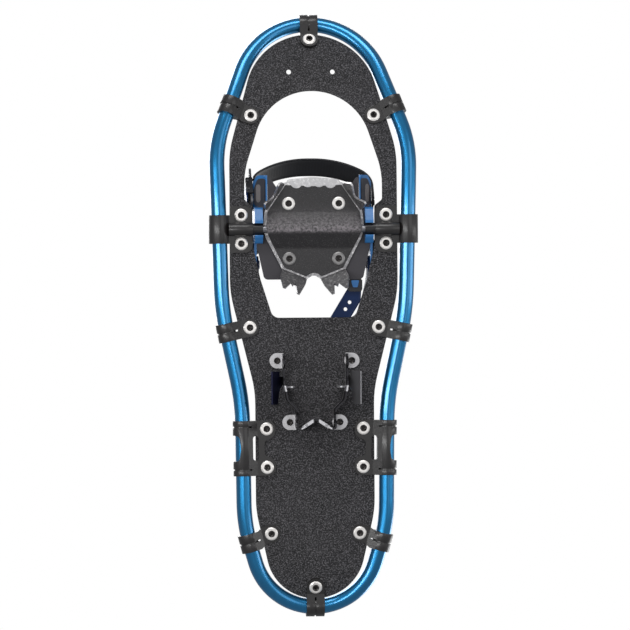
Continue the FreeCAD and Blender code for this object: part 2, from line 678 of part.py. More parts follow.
def ridge(rise, crest_r):
    """Solid ridge, raised by `rise` from the outer face of the cover plate."""
    low = BASE_Z - COVER_T + rise
    return side_prism([(RIDGE_FRONT, low, 6), (CREST_DY, CREST_Z + rise, crest_r), (RIDGE_REAR, low, 6),
                       (RIDGE_REAR - 3, low, 0), (RIDGE_REAR - 3, BASE_Z + 9, 0),
                       (RIDGE_FRONT + 3, BASE_Z + 9, 0), (RIDGE_FRONT + 3, low, 0)], -99, 99)


cover = ridge(0, RIDGE_R).common(prism(cover_face, 0, BASE_Z))
cover = cover.fuse(prism(cover_face, BASE_Z - COVER_T, BASE_Z))
cover = cover.cut(ridge(COVER_T * 1.09, RIDGE_R - COVER_T))
SCALLOP_R = 6.5
for k in (-1.5, -0.5, 0.5, 1.5):
    spot = at_axle(k * 12.0, 48.0 - COVER_IN + SCALLOP_R - 0.9 - 0.55 * k * k, 0)
    cover = cover.cut(rod(spot, spot + UP * 60, SCALLOP_R))

# ---------------------------------------------------------------- footbed
BED_HALF = 59.7
WALL_IN = BED_HALF + 0.3
WALL_T = BINDING_HALF - 0.4 - WALL_IN
bed_half = [(0, 44.0, 50), (36.5, 40.5, 3), (45.5, 54.5, 3), (48.2, 54.5, 2), (48.2, 24.5, 2),
            (BED_HALF, 24.5, 3), (BED_HALF, -18.0, 60), (52.0, -53.0, 5), (20.0, -53.0, 4),
            (14.0, -45.0, 4), (0, -45.0, 2)]
right = shifted(bed_half, AXLE_Y)
bed_outline = right + [(-x, y, r) for x, y, r in reversed(right[1:-1])]
footbed = prism(flat_face(bed_outline), BED_Z, BED_TOP)
for row in range(7):
    ridge_y = AXLE_Y - 36 + row * 12
    footbed = footbed.cut(box(-20, 20, ridge_y, ridge_y + 2.5, BED_TOP - 0.8, BED_TOP + 1))

CRAMPON_RIVETS = [(26.5, 27.0), (26.0, -31.0)]
crampon_rivets = []
crampon_washers = []
for side in (1, -1):
    for x, dy in CRAMPON_RIVETS:
        spot = at_axle(side * x, dy, 0)
        drill = rod(spot + UP * 5, spot + UP * 60, RIVET_R + FIT)
        sink = rod(spot + UP * (BED_TOP - HEAD_SINK), spot + UP * 60, HEAD_R + 0.3)
        toe_crampon = toe_crampon.cut(drill)
        cover = cover.cut(drill)
        footbed = footbed.cut(drill).cut(sink)
        crampon_rivets.append(place(rivet(BASE_Z - COVER_T, BED_TOP - HEAD_SINK), spot,
                                    Vector(1, 0, 0), UP))
        crampon_washers.append(place(washer(BASE_Z - COVER_T), spot, Vector(1, 0, 0), UP))
save("crampon_rivets", crampon_rivets)
save("crampon_washers", crampon_washers)

# ---------------------------------------------------------------- binding wings
COLLAR_R = 6.2            # black collars that the lugs straddle on the axle
LUG_FRONT = 23.0
LUG_BACK = -15.0
LUG_Z = AXLE_Z - 7.0
WALL_TOP = 50.0
WALL_OUT = WALL_IN + WALL_T
FLARE_IN = 49.8           # where the flared front of a wing leaves the footbed
FLARE_TOP = 42.5
HEEL_PIVOT_DY = -37.0
HEEL_PIVOT_Z = 43.0
PIVOT_R = 2.5


def wing():
    over_deck = DECK_Z + DECK_T / 2 + 0.6
    wall = side_prism([(-47, over_deck, 4), (LUG_BACK, over_deck, 0), (LUG_BACK, BED_Z - 0.9, 0),
                       (LUG_FRONT, BED_Z - 0.9, 0), (LUG_FRONT, WALL_TOP, 0),
                       (-47, WALL_TOP, 9)], WALL_IN, WALL_OUT)
    lug = side_prism([(LUG_BACK, BED_Z - 0.1, 0), (LUG_BACK, AXLE_Z, 4), (-8, LUG_Z, 5), (8, LUG_Z, 6),
                      (LUG_FRONT, AXLE_Z, 6), (LUG_FRONT, BED_Z - 0.1, 0)], LUG_IN, WALL_OUT)
    section = [(FLARE_IN, BED_Z), (WALL_OUT, FLARE_TOP), (WALL_OUT, WALL_TOP + 2),
               (WALL_IN, WALL_TOP + 2), (WALL_IN, FLARE_TOP + 1.0),
               (FLARE_IN - 1.3, BED_Z + 2.4), (FLARE_IN - 1.3, BED_Z)]
    points = [at_axle(x, LUG_FRONT - 2, z) for x, z in section]
    flare = Part.Face(Part.makePolygon(points + [points[0]])).extrude(Vector(0, 36, 0))
    flare = flare.common(side_prism([(LUG_FRONT - 2, BED_Z, 0), (LUG_FRONT + 34, BED_Z, 3),
                                     (LUG_FRONT + 34, 38, 5), (46, 45, 8), (LUG_FRONT - 2, WALL_TOP, 0)],
                                    FLARE_IN - 5, 90))
    flare = flare.cut(box(0, WALL_IN, AXLE_Y, AXLE_Y + 25.2, 0, BED_TOP + 0.2))
    body = wall.fuse([lug, flare])
    body = body.cut(axle_rod(0, 99, COLLAR_R + FIT))
    body = body.cut(box(0, 99, AXLE_Y - COLLAR_R - FIT, AXLE_Y + COLLAR_R + FIT, 0, AXLE_Z))
    pivot = at_axle(WALL_IN - 1, HEEL_PIVOT_DY, HEEL_PIVOT_Z)
    body = body.cut(rod(pivot, pivot + Vector(20, 0, 0), PIVOT_R + FIT))
    return body


def pad():
    """Rubber pad on the outer side of a wing's flare."""
    rise = Vector(WALL_OUT - FLARE_IN, 0, FLARE_TOP - BED_Z)
    length = rise.Length
    rise = rise.normalize()
    out = Vector(rise.z, 0, -rise.x)
    start = at_axle(FLARE_IN, 0, BED_Z) + out * 0.02
    corners = [(24.5, 0.6, 3), (53.5, 0.6, 3), (53.5, 11, 6), (42, length - 2.5, 8), (24.5, length - 4.0, 4)]
    outline = rounded([(start + Vector(0, dy, 0) + rise * u, r) for dy, u, r in corners])
    plate = Part.Face(outline).extrude(out * 1.8)
    middle = start + Vector(0, 38, 0) + rise * (length * 0.5) + out * 1.8
    oval = []
    for dy, u in ((-9.5, -3.6), (9.5, -3.6), (9.5, 3.6), (-9.5, 3.6)):
        oval.append((middle + Vector(0, dy, 0) + rise * u, 3.55))
    face = Part.Face(rounded(oval))
    recess = face.extrude(out * -0.8)
    insert = face.extrude(out * -0.8)
    grown = insert.copy()
    insert = grown.fuse(Part.Face(rounded([(p - (p - middle) * 0.12, 3.1) for p, r in oval]))
                        .extrude(out * 0.4))
    return plate.cut(recess), insert.removeSplitter()


SCREW_R = 1.6
SCREW_X = 56.6
SCREW_HEAD_R = 3.0
wing_screws = []
inserts = []
for label, side in (("right", 1), ("left", -1)):
    body = wing()
    plate, insert = pad()
    for dy in (-10.5, 17.0):
        spot = at_axle(SCREW_X, dy, 0)
        hole = rod(spot + UP * (AXLE_Z + 0.6), spot + UP * 60, SCREW_R)
        body = body.cut(hole)
        shank = rod(spot + UP * (AXLE_Z + 0.6), spot + UP * (BED_TOP - 1.2), SCREW_R - 0.02)
        head = rod(spot + UP * (BED_TOP - 1.6), spot + UP * (BED_TOP - 0.1), SCREW_HEAD_R)
        screw = shank.fuse(head)
        if side < 0:
            screw = mirror_x(screw)
        wing_screws.append(screw)
        centre = at_axle(side * SCREW_X, dy, 0)
        footbed = footbed.cut(rod(centre, centre + UP * 60, SCREW_R + FIT))
        footbed = footbed.cut(rod(centre + UP * (BED_TOP - 1.6), centre + UP * 60, SCREW_HEAD_R + 0.2))
    if side < 0:
        body, plate, insert = [mirror_x(s) for s in (body, plate, insert)]
    save("binding_wing_" + label, body)
    save("toe_pad_" + label, plate)
    inserts.append(insert)
save("toe_pad_inserts", inserts)
save("wing_screws", wing_screws)
save("toe_crampon", toe_crampon)
save("anti_snow_plate", cover)
save("footbed", footbed)
spacers = [ring(Vector(s * LUG_IN, AXLE_Y, AXLE_Z), Vector(s * (ARM_IN - 0.3), AXLE_Y, AXLE_Z),
                AXLE_R + 0.02, COLLAR_R) for s in (1, -1)]
save("axle_spacers", spacers)


# ---------------------------------------------------------------- straps and ratchet buckles
STRAP_T = 2.4
STRAP_HALF = 11.0         # half width of the toe and instep straps
STRAP_OUT = WALL_OUT + 0.3 + STRAP_T
LADDER_PITCH = 3.0
LADDER_HALF = 8.6


BROW_SLOPE = math.radians(35)


def strap_path(outside, front, brow, brow_r, side_r, tail):
    """Right half of a strap's line: up the side, round onto a slope, then round onto the flat top."""
    side_y = front - (outside - brow) * math.tan(BROW_SLOPE)
    return [(outside, -tail, 0), (outside, side_y, side_r), (brow, front, brow_r)]


def u_band(shape, inset, thickness, half, tail):
    """Band bent to a U in local axes: X across, Y forward, Z across the band; inset from the strap's line."""
    front, brow, brow_r, side_r = shape

    def line(depth):
        narrow = depth * math.tan(BROW_SLOPE / 2)
        return strap_path(STRAP_OUT - depth, front - depth, brow - narrow, brow_r - depth,
                          side_r - depth, tail)

    outer = line(inset)
    inner = line(inset + thickness)
    corners = outer + [(-x, y, r) for x, y, r in reversed(outer)]
    corners += [(-x, y, r) for x, y, r in inner] + list(reversed(inner))
    return prism(Part.Face(rounded([(Vector(x, y, 0), r) for x, y, r in corners], share=0.97)), -half, half)


def ladder_strap(tail, end):
    """Straight toothed strap up the +X side, anchored to the wing, with its free end past the buckle."""
    half = LADDER_HALF
    outline = [(-tail, -half, 2), (end, -half, 5), (end, half, 5), (-tail, half, 2)]
    face = Part.Face(rounded([(Vector(STRAP_OUT - STRAP_T, y, z), r) for y, z, r in outline]))
    body = face.extrude(Vector(STRAP_T, 0, 0))
    teeth = int((end + tail - 14) / LADDER_PITCH)
    for i in range(teeth):
        y = -tail + 10 + i * LADDER_PITCH
        end_y = y + LADDER_PITCH * 0.45
        body = body.cut(box(STRAP_OUT - 0.9, STRAP_OUT + 1, y, end_y, 2.6 - half, half - 2.6))
        for side in (1, -1):
            low, high = sorted((side * (half - 1.1), side * (half + 1)))
            body = body.cut(box(0, 99, y, end_y, low, high))
    return body


def buckle_parts(at_y, with_floor):
    """Ratchet buckle on the +X side of a band in its local axes, centred at local y."""
    x0 = STRAP_OUT
    inner = STRAP_HALF + 0.3
    outer = inner + 1.8
    back = -STRAP_T - 0.25
    base = []
    for low, high in ((inner, outer), (-outer, -inner)):
        cheek = [(x0 + back, -11, 0), (x0 + 3.6, -11, 2), (x0 + 4.9, 3, 3), (x0 + 4.9, 10.5, 2),
                 (x0 + back, 11, 0)]
        base.append(prism(flat_face([(x, at_y + y, r) for x, y, r in cheek]), low, high))
    base.append(box(x0 + 0.3, x0 + 2.0, at_y - 11, at_y - 8.2, -outer, outer))
    if with_floor:
        base.append(box(x0 + back - 1.2, x0 + back + 0.05, at_y - 11, at_y + 11, -outer, outer))
    body = base[0].fuse(base[1:])
    pin_at = Vector(x0 + 2.6, at_y + 7.0, 0)
    pawl_at = Vector(x0 + 1.7, at_y - 5.0, 0)
    reach = Vector(0, 0, outer)
    for at, radius in ((pin_at, 1.25), (pawl_at, 0.9)):
        body = body.cut(rod(at - reach * 2, at + reach * 2, radius))
    pins = [rod(pin_at - reach, pin_at + reach, 1.23), rod(pawl_at - reach, pawl_at + reach, 0.88)]
    hub = rod(pin_at - Vector(0, 0, 10.9), pin_at + Vector(0, 0, 10.9), 2.1)
    blade = prism(flat_face([(x0 + 3.4, at_y + 7.0, 0), (x0 + 4.7, at_y + 8.4, 0.6),
                             (x0 + 4.9, at_y - 10, 0), (x0 + 4.3, at_y - 17, 1),
                             (x0 + 3.3, at_y - 17, 0.4), (x0 + 3.5, at_y - 9, 0)]), -10, 10)
    lever = hub.fuse(blade).cut(rod(pin_at - reach, pin_at + reach, 1.25))
    lever = lever.cut(rod(Vector(x0, at_y - 8, 0), Vector(x0 + 9, at_y - 8, 0), 2.2))
    knuckle = rod(pawl_at - Vector(0, 0, 7), pawl_at + Vector(0, 0, 7), 1.5)
    tooth = prism(flat_face([(x0 + 0.9, at_y - 5.0, 0), (x0 + 2.8, at_y - 4.5, 0.4),
                             (x0 + 1.5, at_y + 1.5, 0.2), (x0 + 0.15, at_y + 1.5, 0)]), -7, 7)
    pawl = knuckle.fuse(tooth).cut(rod(pawl_at - reach, pawl_at + reach, 0.9))
    return body, pins, lever, pawl


def tilted(tilt):
    a = math.radians(tilt)
    return Vector(0, -math.sin(a), math.cos(a))


# Each strap: origin, tilt, (front, brow, brow radius, side radius), half width, tail and buckle
TOE = (at_axle(0, 26.0, 42.0), 42.0, (55.5, 30.0, 86.0, 28.0), 13.0, 2.0, 17.0)
INSTEP = (at_axle(0, -22.0, 40.0), 76.0, (74.0, 36.0, 60.0, 28.0), 11.0, 5.0, 25.0)
LAP = 12.6                # start of the bend to where the strap's end tucks under the ladder
hinge_report = {}
strap_rivets = []
for name, (origin, tilt, shape, strap_half, tail, buckle_y) in (("toe", TOE), ("instep", INSTEP)):
    normal = tilted(tilt)
    front, brow, _, side_r = shape
    side_y = front - (STRAP_OUT - brow) * math.tan(BROW_SLOPE)
    bend_y = side_y - side_r * math.tan(math.pi / 4 - BROW_SLOPE / 2)
    lap_y = bend_y + LAP

    def fixed(shape):
        return place(shape, origin, Vector(1, 0, 0), normal)

    whole = u_band(shape, 0, STRAP_T, strap_half, tail)
    strap = whole.cut(box(0, 99, -99, lap_y, -99, 99))
    ladder = ladder_strap(tail, min(lap_y + 19.0, front - 1.0))
    for z in (-4.5, 4.5):
        low = Vector(STRAP_OUT - 8.1, lap_y + 3.5, z)
        high = Vector(STRAP_OUT, low.y, z)
        drill = rod(low - Vector(9, 0, 0), high + Vector(5, 0, 0), 1.5)
        ladder = ladder.cut(drill)
        strap = strap.cut(drill).cut(rod(low - Vector(5, 0, 0), low + Vector(0.85, 0, 0), 2.85))
        shank = rod(low, high + Vector(0.8, 0, 0), 1.48)
        heads = [rod(low, low + Vector(0.8, 0, 0), 2.8), rod(high, high + Vector(0.8, 0, 0), 2.8)]
        strap_rivets.append(fixed(shank.fuse(heads)))
    for x in (-STRAP_OUT, STRAP_OUT):
        # Anchor screw through the end of the band into the wing
        sign = 1 if x > 0 else -1
        start = Vector(x + sign * 0.9, -tail + 4.5, 0)
        stop = Vector(x - sign * (STRAP_T + 0.3 + WALL_T), -tail + 4.5, 0)
        drill = rod(start, stop, 1.6)
        screw = rod(start, stop, 1.58).fuse(rod(start, start - Vector(sign * 0.9, 0, 0), 3.0))
        if x > 0:
            ladder = ladder.cut(drill)
        else:
            strap = strap.cut(drill)
        strap_rivets.append(fixed(screw))
        PARTS["drill_%s_%d" % (name, sign)] = fixed(drill)
    save(name + "_ladder", fixed(ladder))
    save(name + "_strap", fixed(strap))
    base, pins, lever, pawl = buckle_parts(buckle_y, name == "instep")
    save(name + "_buckle_base", fixed(base))
    save(name + "_buckle_pins", [fixed(p) for p in pins])
    save(name + "_buckle_lever", fixed(lever))
    save(name + "_buckle_pawl", fixed(pawl))
    y_axis = normal.cross(Vector(1, 0, 0))
    for label, x, y in (("lever", STRAP_OUT + 2.6, buckle_y + 7.0),
                        ("pawl", STRAP_OUT + 1.7, buckle_y - 5.0)):
        hinge_report[name + "_" + label] = (origin + Vector(x, 0, 0) + y_axis * y, normal)
    if name == "instep":
        PAD_T = 4.0
        cushion = u_band(shape, STRAP_T + 2.7, PAD_T, strap_half + 5, -bend_y)
        save("instep_cushion", fixed(cushion))
save("strap_rivets", strap_rivets)

for label, side in (("right", 1), ("left", -1)):
    body = PARTS["binding_wing_" + label]
    for name in ("toe", "instep"):
        body = body.cut(PARTS["drill_%s_%d" % (name, side)])
    save("binding_wing_" + label, body)


# ---------------------------------------------------------------- heel strap
HEEL_T = 2.4
HEEL_HALF = 9.0
HEEL_OUT = WALL_IN - 0.3
HEEL_BACK = 168.0         # axle to the back of the loop
HEEL_R = 34.0
HEEL_WAIST = 42.0


def heel_loop():
    def path(outside, back, radius):
        return [(outside, HEEL_PIVOT_DY + 9, 0), (outside, HEEL_PIVOT_DY - 14, 60),
                (HEEL_WAIST + outside - HEEL_OUT, -HEEL_BACK + 40, 60),
                (HEEL_WAIST + outside - HEEL_OUT, -back, radius)]

    outer = path(HEEL_OUT, HEEL_BACK, HEEL_R)
    inner = path(HEEL_OUT - HEEL_T, HEEL_BACK - HEEL_T, HEEL_R - HEEL_T)
    right_out = outer + [(-x, y, r) for x, y, r in reversed(outer)]
    left_in = [(-x, y, r) for x, y, r in inner] + list(reversed(inner))
    face = flat_face([(x, AXLE_Y + y, r) for x, y, r in right_out + left_in])
    loop = prism(face, HEEL_PIVOT_Z - HEEL_HALF, HEEL_PIVOT_Z + HEEL_HALF)
    trim = side_prism([(HEEL_PIVOT_DY + 9, HEEL_PIVOT_Z - 9, 8.9), (HEEL_PIVOT_DY + 9, HEEL_PIVOT_Z + 9, 8.9),
                       (-300, HEEL_PIVOT_Z + 9, 0), (-300, HEEL_PIVOT_Z - 9, 0)], -90, 90)
    return loop.common(trim)


heel_strap = heel_loop()
pivots = []
for side in (1, -1):
    start = at_axle(side * (HEEL_OUT - HEEL_T - 1.2), HEEL_PIVOT_DY, HEEL_PIVOT_Z)
    stop = at_axle(side * (WALL_OUT + 0.4), HEEL_PIVOT_DY, HEEL_PIVOT_Z)
    heel_strap = heel_strap.cut(rod(start, stop, PIVOT_R + FIT))
    head = rod(start, start + Vector(side * 1.0, 0, 0), 4.5)
    pivots.append(rod(start, stop, PIVOT_R).fuse(head))
HOLE_PITCH = 8.0
for i in range(6):
    y = AXLE_Y - 66 - i * HOLE_PITCH
    heel_strap = heel_strap.cut(rod(Vector(-80, y, HEEL_PIVOT_Z), Vector(0, y, HEEL_PIVOT_Z), 1.9))
save("heel_strap", heel_strap)
save("heel_strap_pivots", pivots)

KEEPER_X = (35.8, 51.4)
KEEPER_Y = (-53.4, -66.0)
TAIL_Z = BED_TOP + 0.6
TAIL_T = 2.0
TAIL_W = 18.6
TAIL_ANGLE = 31.3
TAIL_LONG = 62.0
TAIL_START = 10.5
TAIL_HOLES = (30.8, 39.3)
KEEPER_TOP = TAIL_Z + TAIL_T + 1.8
KEEPER_LOW = DECK_Z + DECK_T / 2 + 0.5
keeper = prism(flat_face([(-KEEPER_X[0], AXLE_Y + KEEPER_Y[0], 1), (-KEEPER_X[1], AXLE_Y + KEEPER_Y[0], 1),
                          (-KEEPER_X[1], AXLE_Y + KEEPER_Y[1], 3), (-KEEPER_X[0], AXLE_Y + KEEPER_Y[1], 3)]),
               KEEPER_LOW, KEEPER_TOP)
turn = math.radians(TAIL_ANGLE)
run = Vector(math.sin(turn), -math.cos(turn), 0)
side_way = Vector(math.cos(turn), math.sin(turn), 0)
tail_at = at_axle(-54.0, -51.0, TAIL_Z)


def tail_point(s, w, r):
    p = tail_at + run * s + side_way * w
    return (p.x, p.y, r)


tail = prism(flat_face([tail_point(TAIL_START + 13, -TAIL_W / 2, 6), tail_point(TAIL_START, -2.5, 1),
                        tail_point(TAIL_START, TAIL_W / 2, 1),
                        tail_point(TAIL_LONG, TAIL_W / 2, 8), tail_point(TAIL_LONG, -TAIL_W / 2, 8)]),
             TAIL_Z, TAIL_Z + TAIL_T)
for along_tail in TAIL_HOLES:
    p = tail_at + run * along_tail
    tail = tail.cut(rod(p - UP * 9, p + UP * 9, 1.9))
slot = prism(flat_face([tail_point(TAIL_START - 0.4, -TAIL_W / 2 - 0.3, 0),
                        tail_point(TAIL_START - 0.4, TAIL_W / 2 + 0.3, 0),
                        tail_point(60, TAIL_W / 2 + 0.3, 0), tail_point(60, -TAIL_W / 2 - 0.3, 0)]),
             TAIL_Z - 0.2, TAIL_Z + TAIL_T + 0.2)
lip = box(-50.5, -38, AXLE_Y - 55, AXLE_Y - 44, BED_TOP + 0.05, BED_TOP + 1.9)
roof = box(-50.5, -38, AXLE_Y - 55, AXLE_Y + KEEPER_Y[0], BED_TOP + 0.05, KEEPER_TOP)
keeper = keeper.fuse([lip, roof])
chip = prism(flat_face([(-39.4, AXLE_Y - 54.2, 1), (-47.9, AXLE_Y - 54.2, 1), (-46.2, AXLE_Y - 61.6, 1),
                        (-41.4, AXLE_Y - 61.6, 1)]), KEEPER_LOW - 1.0, KEEPER_LOW)
save("keeper_clip", chip)
save("heel_strap_tail", tail)
save("heel_strap_keeper", keeper.cut(slot))


# ---------------------------------------------------------------- heel crampon and heel pad
HEEL_TOP = DECK_Z - DECK_T / 2
HEEL_STEEL = 1.7
HEEL_PLATE = HEEL_TOP - HEEL_STEEL
WALL_X = 33.5
HEEL_TABS = [(39.5, -48.4, WALL_X + 0.5), (26.4, -113.3, 21.0)]
wall_half = [(WALL_X, -41.0, 0), (WALL_X, -72.0, 12), (30.0, -90.0, 8), (20.3, -99.5, 5),
             (20.3, -119.8, 3), (15.6, -119.8, 3), (0, -109.6, 4)]
wall_path = rounded([(Vector(x, y, HEEL_TOP), r) for x, y, r in wall_half]
                    + [(Vector(-x, y, HEEL_TOP), r) for x, y, r in reversed(wall_half[:-1])],
                    closed=False)
wall_ends = (WALL_X - HEEL_STEEL / 2, WALL_X + HEEL_STEEL / 2)
section = [Vector(wall_ends[0], -41, HEEL_TOP), Vector(wall_ends[1], -41, HEEL_TOP),
           Vector(wall_ends[1], -41, 0), Vector(wall_ends[0], -41, 0)]
section = Part.makePolygon(section + [section[0]])
heel_crampon = wall_path.makePipeShell([section], True, False)


def notch(a, b, corners):
    """Cutter for the gaps between teeth: (along, height) corners, across the wall from a to b."""
    along = (b - a).normalize()
    across = along.cross(UP)
    points = [a + along * s + UP * z - across * 5 for s, z in corners]
    return Part.Face(Part.makePolygon(points + [points[0]])).extrude(across * 10)


notches = []
for side in (1, -1):
    a = Vector(side * WALL_X, -41, 0)
    b = Vector(side * WALL_X, -72, 0)
    notches.append(notch(a, b, [(-3, -2), (-3, 11), (2.5, 11), (7.5, -2)]))
    notches.append(notch(a, b, [(10.0, -2), (15.5, 11), (24, 11), (29, 5), (33, 5), (33, -2)]))
    a = Vector(side * 20.3, -99.5, 0)
    b = Vector(side * 20.3, -119.8, 0)
    notches.append(notch(a, b, [(2.0, -2), (6.0, 9), (11.0, 9), (15.0, -2)]))
    a = Vector(side * 15.6, -119.8, 0)
    b = Vector(0, -109.6, 0)
    notches.append(notch(a, b, [(4.0, -2), (8.0, 7), (30, 7), (30, -2)]))
for cutter in notches:
    heel_crampon = heel_crampon.cut(cutter)

extras = []
heel_spots = []
for side in (1, -1):
    for x, y, flat in HEEL_TABS:
        spot = Vector(side * x, y, HEEL_PLATE)
        heel_spots.append(spot)
        x0, x1 = sorted((side * (flat - 1.2), side * x))
        extras += [rod(spot, spot + UP * HEEL_STEEL, 8.0), box(x0, x1, y - 8, y + 8, HEEL_PLATE, HEEL_TOP)]
    flag = []
    for out, y in ((0.4, -65), (4.4, -65), (4.4, -59.5), (12.6, -59.5), (12.6, -94.2), (6.6, -94.2),
                   (4.4, -79), (0.4, -73)):
        flag.append(Vector(side * (WALL_X + out), y, HEEL_TOP - 5.5 - out * 1.607))
    rim = [(side * 3.0, -109.6, 1.5), (side * 15.0, -117.5, 1.5), (side * 13.2, -120.2, 1.5),
           (side * 1.2, -112.3, 1.5)]
    extras.append(prism(flat_face(rim), 7.0, 8.4))
    plane_out = Vector(side * 1.607, 0, 1).normalize()
    extras.append(Part.Face(Part.makePolygon(flag + [flag[0]])).extrude(plane_out * HEEL_STEEL))
    inner_x, outer_x = side * 23.0, side * (WALL_X - 0.3)
    corners = [Vector(outer_x, -75, HEEL_PLATE), Vector(inner_x, -75, HEEL_PLATE - 1),
               Vector(inner_x, -75, 6), Vector(inner_x + side * 2, -75, 0.6),
               Vector(inner_x + side * 4, -75, 0.6), Vector(outer_x, -75, 12)]
    extras.append(Part.Face(Part.makePolygon(corners + [corners[0]])).extrude(Vector(0, -HEEL_STEEL, 0)))
heel_crampon = heel_crampon.fuse(extras)

PAD_HALF = 47.0
PAD_TOP = DECK_Z + DECK_T / 2 + 2.3
heel_pad = prism(flat_face(both_sides([(PAD_HALF - 6, -38, 10), (PAD_HALF, -60, 30), (PAD_HALF - 8, -100, 40),
                                       (PAD_HALF - 14, -124, 8)])), DECK_Z + DECK_T / 2, PAD_TOP)
for row in range(6):
    y = -50 - row * 11.0
    heel_pad = heel_pad.cut(box(-24, 24, y - 1.2, y + 1.2, PAD_TOP - 0.8, PAD_TOP + 1))
heel_rivets = []
for spot in heel_spots:
    drill = rod(spot - UP * 9, spot + UP * 20, RIVET_R + FIT)
    deck_solid = deck_solid.cut(drill)
    heel_crampon = heel_crampon.cut(drill)
    top = Vector(spot.x, spot.y, PAD_TOP - HEAD_SINK)
    heel_pad = heel_pad.cut(drill).cut(rod(top, top + UP * 9, HEAD_R + 0.3))
    base = Vector(spot.x, spot.y, 0)
    heel_rivets.append(place(rivet(HEEL_PLATE, PAD_TOP - HEAD_SINK, 0.0), base, Vector(1, 0, 0), UP))
save("heel_crampon", heel_crampon)
save("heel_crampon_rivets", heel_rivets)
save("heel_pad", heel_pad)
save("deck", deck_solid)
for name, (at, axis) in hinge_report.items():
    print(name, [round(c, 3) for c in at], [round(c, 4) for c in axis])
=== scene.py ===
"""Looks of a snowshoe: bent blue tube, black clipped deck, pivoting toe binding and steel crampons."""
import json
import math
import bmesh
import bpy
import numpy as np
from mathutils import Matrix, Vector


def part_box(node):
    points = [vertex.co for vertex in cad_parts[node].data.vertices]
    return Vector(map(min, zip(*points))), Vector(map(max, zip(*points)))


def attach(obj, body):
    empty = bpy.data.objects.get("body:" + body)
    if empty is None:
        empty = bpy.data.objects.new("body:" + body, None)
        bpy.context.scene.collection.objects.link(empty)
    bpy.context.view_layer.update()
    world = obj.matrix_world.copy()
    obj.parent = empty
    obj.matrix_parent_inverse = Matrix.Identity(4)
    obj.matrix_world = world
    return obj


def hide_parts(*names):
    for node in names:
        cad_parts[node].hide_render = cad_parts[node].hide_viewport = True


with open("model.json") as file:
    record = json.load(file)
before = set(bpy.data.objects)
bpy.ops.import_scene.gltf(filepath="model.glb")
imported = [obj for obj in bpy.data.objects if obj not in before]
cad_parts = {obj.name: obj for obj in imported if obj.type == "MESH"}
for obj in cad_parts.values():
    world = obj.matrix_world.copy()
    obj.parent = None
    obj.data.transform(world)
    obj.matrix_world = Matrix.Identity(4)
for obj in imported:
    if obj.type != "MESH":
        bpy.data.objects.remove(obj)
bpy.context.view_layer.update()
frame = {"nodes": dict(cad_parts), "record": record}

nodes = frame["nodes"]

# ---------------------------------------------------------------- camera, floor and light
# The shoe is looked at from straight underneath, toe up, through a long lens a little to one side.
# The floor is a pale sheet seen only from above, so that the shoe's underside stays open to view.
STAND = 6.0
YAW = math.radians(4.6)
ROLL = math.radians(0.4)
VIEW_SPAN = 0.6634
aim = Vector((-0.001, -0.0005, 0.027))
eye = aim + Vector((math.sin(YAW) * STAND, 0, -math.cos(YAW) * STAND))
back = (eye - aim).normalized()
up = Vector((-math.sin(ROLL), math.cos(ROLL), 0))
right = up.cross(back).normalized()
up = back.cross(right)
lens = bpy.data.cameras.new("camera")
lens.sensor_width = 36.0
lens.lens = 36.0 * STAND / VIEW_SPAN
lens.clip_end = 50
camera = bpy.data.objects.new("camera", lens)
camera.matrix_world = Matrix.Translation(eye) @ Matrix((right, up, back)).transposed().to_4x4()
bpy.context.collection.objects.link(camera)
bpy.context.scene.camera = camera
bpy.context.scene.view_settings.view_transform = "Standard"

for name, place, size, power in (
        ("strip_under", (1.3, 0.1, -2.1), (0.26, 2.4), 27),
        ("fill_under", (-1.5, 0.5, -2.4), (1.4, 1.6), 9),
        ("toe_under", (0.2, 2.2, -1.3), (1.8, 0.7), 24),
        ("edge_under", (-2.0, 0.0, -0.5), (0.3, 1.8), 6),
        ("light_over", (0.5, 0.8, 1.9), (1.6, 1.6), 34),
        ("light_over_side", (-1.5, -1.0, 1.3), (1.2, 1.2), 18)):
    lamp = bpy.data.lights.new(name, "AREA")
    lamp.shape = "RECTANGLE"
    lamp.size, lamp.size_y = size
    lamp.energy = power
    holder = bpy.data.objects.new(name, lamp)
    holder.location = place
    holder.rotation_euler = (-Vector(place)).to_track_quat("-Z", "Y").to_euler()
    bpy.context.collection.objects.link(holder)

world = bpy.data.worlds.new("studio")
bpy.context.scene.world = world
world.use_nodes = True
sky = world.node_tree
sky.nodes.clear()
seen = sky.nodes.new("ShaderNodeBackground")
seen.inputs["Color"].default_value = (1.0, 1.0, 1.0, 1)
seen.inputs["Strength"].default_value = 1.0
light = sky.nodes.new("ShaderNodeBackground")
light.inputs["Color"].default_value = (0.95, 0.97, 1.0, 1)
light.inputs["Strength"].default_value = 0.34
path = sky.nodes.new("ShaderNodeLightPath")
either = sky.nodes.new("ShaderNodeMixShader")
out = sky.nodes.new("ShaderNodeOutputWorld")
sky.links.new(path.outputs["Is Camera Ray"], either.inputs[0])
sky.links.new(light.outputs[0], either.inputs[1])
sky.links.new(seen.outputs[0], either.inputs[2])
sky.links.new(either.outputs[0], out.inputs["Surface"])


